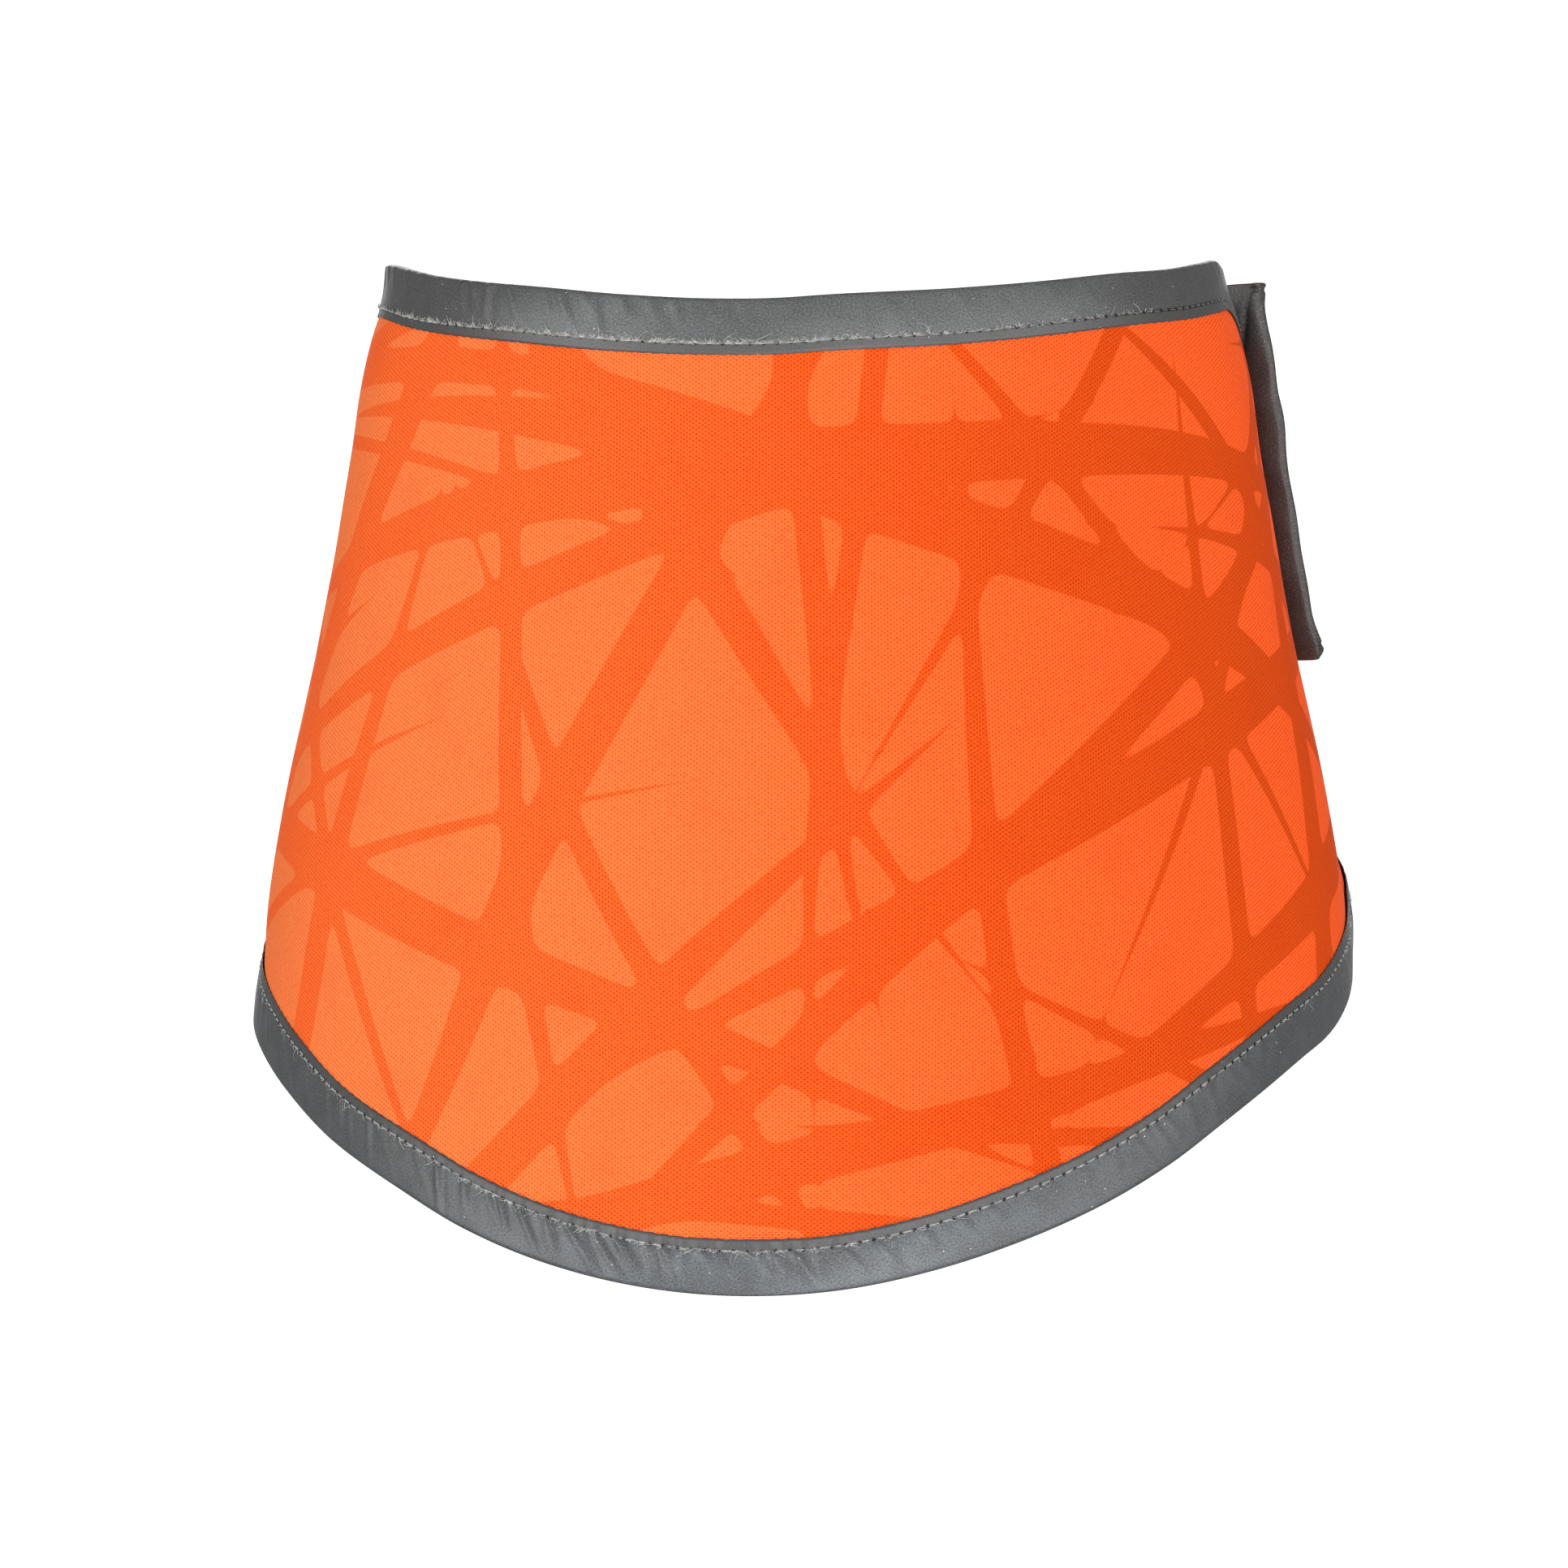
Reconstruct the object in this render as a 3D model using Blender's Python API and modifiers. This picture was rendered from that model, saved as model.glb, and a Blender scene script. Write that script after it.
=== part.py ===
"""Reflective bandana in its worn form: a knit cloth ring that laps at one side and hangs down as a bib.

Metres, +Z up, the bib faces -Y. The origin is the middle of the neck opening.
Wrap angle 0 is the front, +90 is the +X side and -90 the -X side. The cloth is one spiral: it starts
with the inner wing at +170 degrees, passes the front and the -X side, goes behind the neck and ends
as the outer wing over the +X side.
"""

import math

import bpy
import numpy as np

# Neck ring and bib, measured on the middle of the cloth
NECK_HALF_WIDTH = 0.0939
NECK_FRONT_DEPTH = 0.0820
NECK_BACK_DEPTH = 0.0700
RIM_HEIGHT = 0.0480
HEM_DROP = 0.1803

# Cloth and tape
PANEL_THICKNESS = 0.0010
TAPE_THICKNESS = 0.0010
NECK_TAPE_WIDTH = 0.0128
HEM_TAPE_WIDTH = 0.0119
END_TAPE_WIDTH = 0.0125
SEAM_GAP = 0.0003

# Hidden closure between the two wings
PATCH_THICKNESS = 0.0026
PATCH_HEIGHT = 0.0450
PATCH_START_DEG = -238.0
PATCH_END_DEG = -200.0

# Ends of the spiral and the outward curl of its free end
OUTER_END_DEG = -258.0
INNER_END_DEG = 170.0
LIFT_START_DEG = -148.0
LIFT_DONE_DEG = -176.0
CURL_LENGTH = 0.0180
CURL_SLOPE = 0.80

# Mesh density
STATION_STEP = 0.0086
CURL_STEP = 0.0034
PANEL_ROWS = 8
END_ROWS = 12
PATCH_ROWS = 7
PATCH_STATIONS = 9
PATH_SAMPLES = 4001
EDGE_LEG_SHARES = (1.0, 0.55)
END_LEG_SHARES = (1.0, 0.78, 0.56, 0.34)
FOLD_ANGLES = (0.0, 45.0, 90.0, 135.0, 180.0)

# Plan sections from the top of the rim (0) to the lowest hem (1), as shares of the neck sizes
SECTION_TABLE = (
    ("down", "half_width", "front_depth", "back_depth"),
    (0.000, 1.000, 1.000, 1.000),
    (0.031, 1.016, 1.016, 1.013),
    (0.062, 1.048, 1.032, 1.025),
    (0.095, 1.071, 1.049, 1.038),
    (0.127, 1.087, 1.066, 1.050),
    (0.193, 1.109, 1.099, 1.075),
    (0.258, 1.136, 1.133, 1.101),
    (0.324, 1.163, 1.167, 1.127),
    (0.389, 1.193, 1.200, 1.152),
    (0.455, 1.228, 1.235, 1.178),
    (0.521, 1.263, 1.268, 1.204),
    (0.586, 1.291, 1.302, 1.230),
    (0.652, 1.313, 1.336, 1.255),
    (0.717, 1.324, 1.370, 1.281),
    (0.760, 1.333, 1.392, 1.298),
    (1.000, 1.425, 1.515, 1.392),
)

# Neck edge against the wrap angle, as a share of RIM_HEIGHT above the origin, and its tape width as a share
RIM_TABLE = (
    ("wrap_deg", "height", "tape"),
    (-262.0, 0.940, 1.00),
    (-240.0, 0.920, 1.00),
    (-210.0, 0.885, 1.00),
    (-180.0, 0.865, 1.00),
    (-150.0, 0.895, 1.00),
    (-120.0, 0.940, 1.00),
    (-100.0, 0.978, 0.96),
    (-88.0, 0.998, 0.95),
    (-79.0, 0.990, 0.95),
    (-70.0, 0.936, 0.95),
    (-61.0, 0.877, 0.95),
    (-50.0, 0.828, 0.96),
    (-37.0, 0.780, 0.98),
    (-24.0, 0.730, 0.99),
    (-12.0, 0.703, 1.00),
    (-5.0, 0.702, 1.00),
    (4.0, 0.722, 1.00),
    (18.0, 0.752, 1.00),
    (32.0, 0.800, 0.98),
    (45.0, 0.855, 0.95),
    (58.0, 0.900, 0.92),
    (70.0, 0.955, 0.91),
    (79.0, 0.983, 0.92),
    (85.0, 0.950, 0.94),
    (91.0, 0.885, 0.97),
    (100.0, 0.850, 1.00),
    (120.0, 0.835, 1.00),
    (176.0, 0.835, 1.00),
)

# Hem against the wrap angle, as a share of HEM_DROP below the origin, and its tape width as a share
HEM_TABLE = (
    ("wrap_deg", "drop", "tape"),
    (-262.0, 0.238, 1.00),
    (-225.0, 0.238, 1.00),
    (-200.0, 0.242, 1.00),
    (-180.0, 0.258, 1.00),
    (-165.0, 0.292, 1.00),
    (-150.0, 0.355, 1.00),
    (-130.0, 0.472, 1.00),
    (-110.0, 0.590, 1.02),
    (-97.0, 0.660, 1.12),
    (-88.0, 0.695, 1.16),
    (-75.0, 0.738, 1.12),
    (-65.0, 0.780, 1.05),
    (-54.0, 0.834, 1.00),
    (-43.0, 0.885, 1.00),
    (-34.0, 0.930, 1.00),
    (-25.0, 0.966, 0.99),
    (-16.0, 0.990, 0.99),
    (-7.0, 1.000, 0.99),
    (3.0, 0.993, 0.99),
    (12.0, 0.970, 0.99),
    (20.0, 0.940, 1.00),
    (28.0, 0.904, 1.00),
    (37.0, 0.856, 1.01),
    (45.0, 0.809, 1.03),
    (52.0, 0.773, 1.06),
    (60.0, 0.738, 1.10),
    (68.0, 0.712, 1.15),
    (78.0, 0.675, 1.20),
    (90.0, 0.634, 1.20),
    (100.0, 0.588, 1.15),
    (115.0, 0.503, 1.05),
    (130.0, 0.411, 1.00),
    (145.0, 0.325, 1.00),
    (158.0, 0.270, 1.00),
    (176.0, 0.246, 1.00),
)

# Slope of the curled free end against the height, as shares of RIM_HEIGHT and CURL_SLOPE
CURL_TABLE = (
    ("height", "slope"),
    (-1.10, 1.03),
    (-0.85, 0.97),
    (-0.60, 0.88),
    (-0.20, 0.93),
    (0.20, 0.96),
    (0.50, 0.99),
    (0.72, 1.16),
    (0.90, 1.44),
    (1.05, 1.54),
)

# Values that follow from the sizes above
BODY_HEIGHT = RIM_HEIGHT + HEM_DROP
LEG_OFFSET = PANEL_THICKNESS / 2 + SEAM_GAP + TAPE_THICKNESS / 2
FOLD_TOP = TAPE_THICKNESS / 2
FOLD_CENTRE = FOLD_TOP + LEG_OFFSET
WRAP_LIFT = PANEL_THICKNESS + PATCH_THICKNESS + 2 * SEAM_GAP
PROBE_HEIGHT = RIM_HEIGHT / 100
PROBE_DEG = 0.2


def curve(table, column, x):
    """Smooth curve through a named column of a table, over its first column."""
    rows = np.array(table[1:], dtype=float)
    xs = rows[:, 0]
    ys = rows[:, table[0].index(column)]
    slopes = np.gradient(ys, xs)
    x = np.clip(np.asarray(x, dtype=float), xs[0], xs[-1])
    i = np.clip(np.searchsorted(xs, x, side="right") - 1, 0, len(xs) - 2)
    step = xs[i + 1] - xs[i]
    t = (x - xs[i]) / step
    start = (1 + 2 * t) * (1 - t) ** 2 * ys[i] + t * (1 - t) ** 2 * step * slopes[i]
    end = t * t * (3 - 2 * t) * ys[i + 1] + t * t * (t - 1) * step * slopes[i + 1]
    return start + end


def ease(t):
    """Smooth step from 0 to 1."""
    t = np.clip(t, 0.0, 1.0)
    return t * t * (3 - 2 * t)


def rim(wrap):
    """Height of the neck edge at a wrap angle in degrees."""
    return curve(RIM_TABLE, "height", wrap) * RIM_HEIGHT


def hem(wrap):
    """Height of the hem at a wrap angle in degrees."""
    return -curve(HEM_TABLE, "drop", wrap) * HEM_DROP


def rim_tape(wrap):
    """Width of the tape on the neck edge."""
    return curve(RIM_TABLE, "tape", wrap) * NECK_TAPE_WIDTH


def hem_tape(wrap):
    """Width of the tape on the hem."""
    return curve(HEM_TABLE, "tape", wrap) * HEM_TAPE_WIDTH


def ring(wrap, z):
    """Point of the inner wing's oval at a height, and the level direction out of it."""
    down = (RIM_HEIGHT - z) / BODY_HEIGHT
    across = np.sin(np.radians(wrap))
    ahead = np.cos(np.radians(wrap))
    half_width = NECK_HALF_WIDTH * curve(SECTION_TABLE, "half_width", down)
    front = NECK_FRONT_DEPTH * curve(SECTION_TABLE, "front_depth", down)
    back = NECK_BACK_DEPTH * curve(SECTION_TABLE, "back_depth", down)
    half_depth = np.where(ahead > 0, front, back)
    point = np.stack([half_width * across, -half_depth * ahead, z + 0 * across], axis=-1)
    out = np.stack([across * half_depth, -ahead * half_width, 0 * across], axis=-1)
    return point, out / np.linalg.norm(out, axis=-1, keepdims=True)


# Length along the oval for a degree of wrap, next to the outer end
END_SPAN = ring(np.array([OUTER_END_DEG - 0.5, OUTER_END_DEG + 0.5]), np.zeros(2))[0]
END_RATE = float(np.linalg.norm(END_SPAN[1] - END_SPAN[0]))


def lift(wrap, z):
    """How far the cloth stands outside the oval: over the lap, then in the curl of the free end."""
    lap = WRAP_LIFT * ease((LIFT_START_DEG - wrap) / (LIFT_START_DEG - LIFT_DONE_DEG))
    from_end = (wrap - OUTER_END_DEG) * END_RATE
    curl = np.clip(CURL_LENGTH - from_end, 0.0, None) ** 2 / (2 * CURL_LENGTH)
    return lap + CURL_SLOPE * curve(CURL_TABLE, "slope", z / RIM_HEIGHT) * curl


def middle(wrap, z):
    """Point on the middle of the cloth at a wrap angle and a height."""
    point, out = ring(wrap, z)
    return point + lift(wrap, z)[..., None] * out


def cloth(wrap, z, off):
    """Point at a distance off the middle of the cloth, along its outward normal."""
    wrap, z, off = np.broadcast_arrays(
        np.asarray(wrap, dtype=float), np.asarray(z, dtype=float), np.asarray(off, dtype=float)
    )
    along = middle(wrap + PROBE_DEG, z) - middle(wrap - PROBE_DEG, z)
    up = middle(wrap, z + PROBE_HEIGHT) - middle(wrap, z - PROBE_HEIGHT)
    normal = np.cross(along, up)
    normal /= np.linalg.norm(normal, axis=-1, keepdims=True)
    return middle(wrap, z) + off[..., None] * normal


# Path length along the cloth at the height of the origin, from the outer end
PATH_DEG = np.linspace(OUTER_END_DEG, INNER_END_DEG, PATH_SAMPLES)
PATH_STEPS = np.linalg.norm(np.diff(middle(PATH_DEG, 0 * PATH_DEG), axis=0), axis=1)
PATH = np.concatenate([[0.0], np.cumsum(PATH_STEPS)])
PATH_LENGTH = float(PATH[-1])


def wrap_at(length):
    """Wrap angle at a distance along the cloth from its outer end."""
    return np.interp(length, PATH, PATH_DEG)


def body_marks():
    """Distances along the cloth between the end tapes, close together in the curl."""
    butt = END_TAPE_WIDTH + SEAM_GAP
    flat = max(butt, CURL_LENGTH) + STATION_STEP
    last = PATH_LENGTH - butt
    curled = np.linspace(butt, flat, 1 + math.ceil((flat - butt) / CURL_STEP))
    even = np.linspace(flat, last, 1 + math.ceil((last - flat) / STATION_STEP))
    return np.concatenate([curled, even[1:]])


def panel_marks():
    """Distances along the cloth for the panel, with those under the two end tapes."""
    inside = [FOLD_CENTRE] + [END_TAPE_WIDTH * share for share in reversed(END_LEG_SHARES[1:])]
    start = np.array(inside)
    return np.concatenate([start, body_marks(), PATH_LENGTH - start[::-1]])


def edge_stretch(edge, wrap):
    """Height taken by a unit width of tape where the edge runs at a slope."""
    before = wrap - PROBE_DEG
    after = wrap + PROBE_DEG
    along = middle(after, edge(after)) - middle(before, edge(before))
    slope = along[..., 2] / np.linalg.norm(along[..., :2], axis=-1)
    fall = middle(wrap, edge(wrap)) - middle(wrap, edge(wrap) - PROBE_HEIGHT)
    return np.sqrt(1 + slope * slope) * PROBE_HEIGHT / np.linalg.norm(fall, axis=-1)


def tape_rows(width, shares):
    """Distance in from the edge and offset for each row of the folded tape, from leg to leg."""
    rows = [(width * share, LEG_OFFSET) for share in shares]
    for deg in FOLD_ANGLES:
        angle = math.radians(deg)
        rows.append((FOLD_CENTRE - LEG_OFFSET * math.sin(angle), LEG_OFFSET * math.cos(angle)))
    return rows + [(width * share, -LEG_OFFSET) for share in reversed(shares)]


def material(name, color, roughness, metallic):
    """Plain Principled material."""
    made = bpy.data.materials.new(name)
    made.use_nodes = True
    shader = made.node_tree.nodes["Principled BSDF"]
    shader.inputs["Base Color"].default_value = (*color, 1.0)
    shader.inputs["Roughness"].default_value = roughness
    shader.inputs["Metallic"].default_value = metallic
    made.diffuse_color = (*color, 1.0)
    return made


def sheet(name, points, thickness, look):
    """Grid of points made into a closed wall of even thickness."""
    rows, columns = points.shape[:2]
    bpy.ops.mesh.primitive_grid_add(x_subdivisions=columns - 1, y_subdivisions=rows - 1, size=1.0)
    obj = bpy.context.object
    obj.name = name
    obj.data.name = name
    for vertex in obj.data.vertices:
        column = round((vertex.co.x + 0.5) * (columns - 1))
        row = round((vertex.co.y + 0.5) * (rows - 1))
        vertex.co = points[row, column]
    obj.data.polygons.foreach_set("use_smooth", [True] * len(obj.data.polygons))
    wall = obj.modifiers.new("Wall", "SOLIDIFY")
    wall.thickness = thickness
    wall.offset = 0.0
    wall.use_even_offset = True
    wall.use_quality_normals = True
    obj.data.materials.append(look)
    for holder in list(obj.users_collection):
        holder.objects.unlink(obj)
    bandana.objects.link(obj)
    return obj


def make_panel():
    """Cloth from inside one end fold to inside the other, rows at the tape edges."""
    wrap = wrap_at(panel_marks())
    top = rim(wrap)
    low = hem(wrap)
    top_unit = edge_stretch(rim, wrap)
    low_unit = edge_stretch(hem, wrap)
    top_legs = [top - rim_tape(wrap) * top_unit * share for share in EDGE_LEG_SHARES]
    low_legs = [low + hem_tape(wrap) * low_unit * share for share in EDGE_LEG_SHARES]
    between = [top_legs[0] + (low_legs[0] - top_legs[0]) * t for t in np.linspace(0, 1, PANEL_ROWS)]
    rows = [top - FOLD_CENTRE * top_unit] + top_legs[:0:-1] + between
    rows += low_legs[1:] + [low + FOLD_CENTRE * low_unit]
    points = np.array([cloth(wrap, z, 0.0) for z in rows])
    return sheet("panel", points, PANEL_THICKNESS, orange)


def make_edge_tape(name, edge, side, tape):
    """Tape folded over the neck edge (side -1) or the hem (side 1)."""
    wrap = wrap_at(body_marks())
    height = edge(wrap)
    unit = edge_stretch(edge, wrap)
    rows = tape_rows(tape(wrap), EDGE_LEG_SHARES)
    points = np.array([cloth(wrap, height + side * inward * unit, off) for inward, off in rows])
    return sheet(name, points, TAPE_THICKNESS, grey)


def make_end_tape(name, start, direction):
    """Tape folded over an end of the cloth, as tall as the wing there."""
    points = []
    for inward, off in tape_rows(END_TAPE_WIDTH, END_LEG_SHARES):
        wrap = float(wrap_at(start + direction * inward))
        z = np.linspace(float(rim(wrap)), float(hem(wrap)), END_ROWS)
        points.append(cloth(wrap, z, off))
    return sheet(name, np.array(points), TAPE_THICKNESS, grey)


def make_patch():
    """Closed hook-and-loop pair between the two wings, as one plain piece."""
    ends = np.interp([PATCH_START_DEG, PATCH_END_DEG], PATH_DEG, PATH)
    wrap = wrap_at(np.linspace(ends[0], ends[1], PATCH_STATIONS))
    middle_height = (rim(wrap) + hem(wrap)) / 2
    heights = [middle_height + share * PATCH_HEIGHT for share in np.linspace(0.5, -0.5, PATCH_ROWS)]
    points = np.array([cloth(wrap, z, -WRAP_LIFT / 2) for z in heights])
    return sheet("closure_patch", points, PATCH_THICKNESS, dark)


for old in list(bpy.data.objects):
    bpy.data.objects.remove(old, do_unlink=True)

bandana = bpy.data.collections.new("reflective_bandana")
bpy.context.scene.collection.children.link(bandana)

orange = material("blaze_orange_knit", (0.93, 0.16, 0.03), 0.85, 0.0)
grey = material("grey_reflective_tape", (0.13, 0.13, 0.135), 0.45, 0.3)
dark = material("hook_and_loop", (0.05, 0.05, 0.05), 0.95, 0.0)

make_panel()
make_edge_tape("neck_binding", rim, -1, rim_tape)
make_edge_tape("hem_binding", hem, 1, hem_tape)
make_end_tape("outer_end_binding", 0.0, 1)
make_end_tape("inner_end_binding", PATH_LENGTH, -1)
make_patch()
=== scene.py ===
"""Reflective bandana as worn: knit mesh cloth, folded reflective tape, lockstitches and stray fibres.

Metres, +Z up, the bib faces -Y. The origin is the middle of the neck opening.
Wrap angle 0 is the front, +90 is the +X side and -90 the -X side. The cloth is one spiral from its
outer end, at OUTER_END_DEG, round the back and the -X side to the front and on to INNER_END_DEG.
"""

import math

import bmesh
import bpy
import numpy as np
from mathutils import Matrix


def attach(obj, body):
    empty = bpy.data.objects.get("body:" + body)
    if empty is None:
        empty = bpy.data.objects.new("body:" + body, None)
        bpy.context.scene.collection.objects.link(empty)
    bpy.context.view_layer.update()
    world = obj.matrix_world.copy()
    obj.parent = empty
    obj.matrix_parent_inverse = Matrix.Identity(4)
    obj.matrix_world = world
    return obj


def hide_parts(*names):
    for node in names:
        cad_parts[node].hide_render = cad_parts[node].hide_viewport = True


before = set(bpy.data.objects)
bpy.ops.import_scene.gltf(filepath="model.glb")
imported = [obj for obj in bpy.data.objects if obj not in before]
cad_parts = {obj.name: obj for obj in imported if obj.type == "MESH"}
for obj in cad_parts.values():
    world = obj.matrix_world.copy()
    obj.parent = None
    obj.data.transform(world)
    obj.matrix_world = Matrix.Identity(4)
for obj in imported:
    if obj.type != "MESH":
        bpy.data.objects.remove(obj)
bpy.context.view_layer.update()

# Camera, level and square to the bib; FRAME_WIDTH is what it takes in at the neck axis
CAMERA_PLACE = (-0.00505, -1.5, -0.072)
FRAME_WIDTH = 0.3613
SENSOR_MM = 36.0

# Neck ring and bib, measured on the middle of the cloth
NECK_HALF_WIDTH = 0.0939
NECK_FRONT_DEPTH = 0.0820
NECK_BACK_DEPTH = 0.0700
RIM_HEIGHT = 0.0480
HEM_DROP = 0.1803

# Cloth and tape. TAPE_STAND is from the middle of the cloth to a tape's outer skin, SEAM_GAP from an edge
# tape to an end tape, STITCH_INSET from an end tape's raw edge to its stitches.
CLOTH_THICKNESS = 0.0008
TAPE_THICKNESS = 0.0004
TAPE_STAND = 0.0009
NECK_TAPE_WIDTH = 0.0128
HEM_TAPE_WIDTH = 0.0119
END_TAPE_WIDTH = 0.0125
SEAM_GAP = 0.0003
STITCH_INSET = 0.0028
STITCH_PITCH = 0.0030

# Hidden closure between the two wings
PATCH_THICKNESS = 0.0026
PATCH_HEIGHT = 0.0450
PATCH_START_DEG = -238.0
PATCH_END_DEG = -200.0

# Ends of the spiral, where and how far the outer wing rises over the inner one, and the curl of its free end
OUTER_END_DEG = -258.0
INNER_END_DEG = 170.0
LIFT_START_DEG = -148.0
LIFT_DONE_DEG = -176.0
WRAP_LIFT = 0.0042
CURL_LENGTH = 0.0180
CURL_SLOPE = 0.80

# The cloth is cut as part of a ring round a point this far above the origin
CUT_RADIUS = 0.608

# Mesh density
CLOTH_STEP = 0.0019
CLOTH_ROWS = 86
TAPE_STEP = 0.00075
END_ROWS = 150
PATCH_GRID = 60

# Faint unevenness of the cloth: its height, and its waves in radians a metre
RIPPLE = 0.00012
RIPPLE_ALONG = 95.0
RIPPLE_DOWN = 70.0
RIPPLE_SWAY = 40.0

# Plan sections from the top of the rim (0) to the lowest hem (1), as shares of the neck sizes
SECTION_TABLE = (
    ("down", "half_width", "front_depth", "back_depth"),
    (0.000, 1.000, 1.000, 1.000),
    (0.031, 1.016, 1.016, 1.013),
    (0.062, 1.048, 1.032, 1.025),
    (0.095, 1.071, 1.049, 1.038),
    (0.127, 1.087, 1.066, 1.050),
    (0.193, 1.109, 1.099, 1.075),
    (0.258, 1.136, 1.133, 1.101),
    (0.324, 1.163, 1.167, 1.127),
    (0.389, 1.193, 1.200, 1.152),
    (0.455, 1.228, 1.235, 1.178),
    (0.521, 1.263, 1.268, 1.204),
    (0.586, 1.291, 1.302, 1.230),
    (0.652, 1.313, 1.336, 1.255),
    (0.717, 1.324, 1.370, 1.281),
    (0.760, 1.333, 1.392, 1.298),
    (1.000, 1.425, 1.515, 1.392),
)

# Neck edge against the wrap angle: height above the origin as a share of RIM_HEIGHT, and tape width as a
# share of NECK_TAPE_WIDTH
RIM_TABLE = (
    ("wrap_deg", "height", "tape"),
    (-262.0, 0.940, 1.00),
    (-240.0, 0.920, 1.00),
    (-210.0, 0.885, 1.00),
    (-180.0, 0.865, 1.00),
    (-150.0, 0.895, 1.00),
    (-120.0, 0.940, 1.00),
    (-100.0, 0.964, 0.96),
    (-88.0, 0.982, 0.95),
    (-79.0, 0.964, 0.95),
    (-70.0, 0.924, 0.95),
    (-61.0, 0.877, 0.98),
    (-50.0, 0.828, 1.02),
    (-37.0, 0.780, 1.04),
    (-24.0, 0.730, 1.02),
    (-12.0, 0.703, 1.00),
    (-5.0, 0.702, 1.00),
    (4.0, 0.722, 1.00),
    (18.0, 0.752, 1.00),
    (32.0, 0.800, 0.98),
    (45.0, 0.855, 0.95),
    (58.0, 0.900, 0.92),
    (70.0, 0.955, 0.91),
    (79.0, 0.983, 0.92),
    (85.0, 0.950, 0.94),
    (91.0, 0.885, 0.97),
    (100.0, 0.850, 1.00),
    (120.0, 0.835, 1.00),
    (176.0, 0.835, 1.00),
)

# Hem against the wrap angle: drop below the origin as a share of HEM_DROP, and tape width as a share of
# HEM_TAPE_WIDTH
HEM_TABLE = (
    ("wrap_deg", "drop", "tape"),
    (-262.0, 0.238, 1.00),
    (-225.0, 0.238, 1.00),
    (-200.0, 0.242, 1.00),
    (-180.0, 0.258, 1.00),
    (-165.0, 0.292, 1.00),
    (-150.0, 0.355, 1.00),
    (-130.0, 0.472, 1.00),
    (-110.0, 0.590, 1.02),
    (-97.0, 0.660, 1.12),
    (-88.0, 0.695, 1.16),
    (-75.0, 0.738, 1.12),
    (-65.0, 0.780, 1.05),
    (-54.0, 0.834, 1.00),
    (-43.0, 0.885, 1.00),
    (-34.0, 0.930, 1.00),
    (-25.0, 0.966, 0.99),
    (-16.0, 0.990, 0.99),
    (-7.0, 1.000, 0.99),
    (3.0, 0.993, 0.99),
    (12.0, 0.970, 0.99),
    (20.0, 0.940, 1.00),
    (28.0, 0.904, 1.00),
    (37.0, 0.856, 1.01),
    (45.0, 0.809, 1.03),
    (52.0, 0.773, 1.06),
    (60.0, 0.738, 1.10),
    (68.0, 0.712, 1.15),
    (78.0, 0.675, 1.20),
    (90.0, 0.634, 1.20),
    (100.0, 0.588, 1.15),
    (115.0, 0.503, 1.05),
    (130.0, 0.411, 1.00),
    (145.0, 0.325, 1.00),
    (158.0, 0.270, 1.00),
    (176.0, 0.246, 1.00),
)

# Slope of the curled free end against the height, as shares of RIM_HEIGHT and CURL_SLOPE
CURL_TABLE = (
    ("height", "slope"),
    (-1.10, 1.03),
    (-0.85, 0.97),
    (-0.60, 0.88),
    (-0.20, 0.93),
    (0.20, 0.96),
    (0.50, 0.99),
    (0.72, 1.16),
    (0.90, 1.44),
    (1.05, 1.54),
)

# How far the hem's right corner stands out, in millimetres, against the wrap angle: fully up to
# CORNER_REACH above the hem, then fading over CORNER_FADE
CORNER_TABLE = (
    ("wrap_deg", "flare"),
    (82.0, 0.0),
    (87.0, 0.3),
    (92.0, 1.2),
    (97.0, 2.9),
    (103.0, 3.9),
    (109.0, 2.8),
    (116.0, 0.9),
    (122.0, 0.0),
)
CORNER_REACH = 0.0130
CORNER_FADE = 0.0110

# Whole height, steps by which directions on the cloth are found, and samples of the path along it
BODY_HEIGHT = RIM_HEIGHT + HEM_DROP
PROBE_HEIGHT = RIM_HEIGHT / 100
PROBE_DEG = 0.2
PATH_SAMPLES = 4001
RUN_SAMPLES = 4000


def curve(table, column, x):
    """Smooth curve through a named column of a table, over its first column."""
    rows = np.array(table[1:], dtype=float)
    xs = rows[:, 0]
    ys = rows[:, table[0].index(column)]
    slopes = np.gradient(ys, xs)
    x = np.clip(np.asarray(x, dtype=float), xs[0], xs[-1])
    i = np.clip(np.searchsorted(xs, x, side="right") - 1, 0, len(xs) - 2)
    step = xs[i + 1] - xs[i]
    t = (x - xs[i]) / step
    start = (1 + 2 * t) * (1 - t) ** 2 * ys[i] + t * (1 - t) ** 2 * step * slopes[i]
    end = t * t * (3 - 2 * t) * ys[i + 1] + t * t * (t - 1) * step * slopes[i + 1]
    return start + end


def ease(t):
    """Smooth step from 0 to 1."""
    t = np.clip(t, 0.0, 1.0)
    return t * t * (3 - 2 * t)


def rim(wrap):
    """Height of the neck edge at a wrap angle in degrees."""
    return curve(RIM_TABLE, "height", wrap) * RIM_HEIGHT


def hem(wrap):
    """Height of the hem at a wrap angle in degrees."""
    return -curve(HEM_TABLE, "drop", wrap) * HEM_DROP


def rim_tape(wrap):
    """Width of the tape on the neck edge."""
    return curve(RIM_TABLE, "tape", wrap) * NECK_TAPE_WIDTH


def hem_tape(wrap):
    """Width of the tape on the hem."""
    return curve(HEM_TABLE, "tape", wrap) * HEM_TAPE_WIDTH


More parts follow.
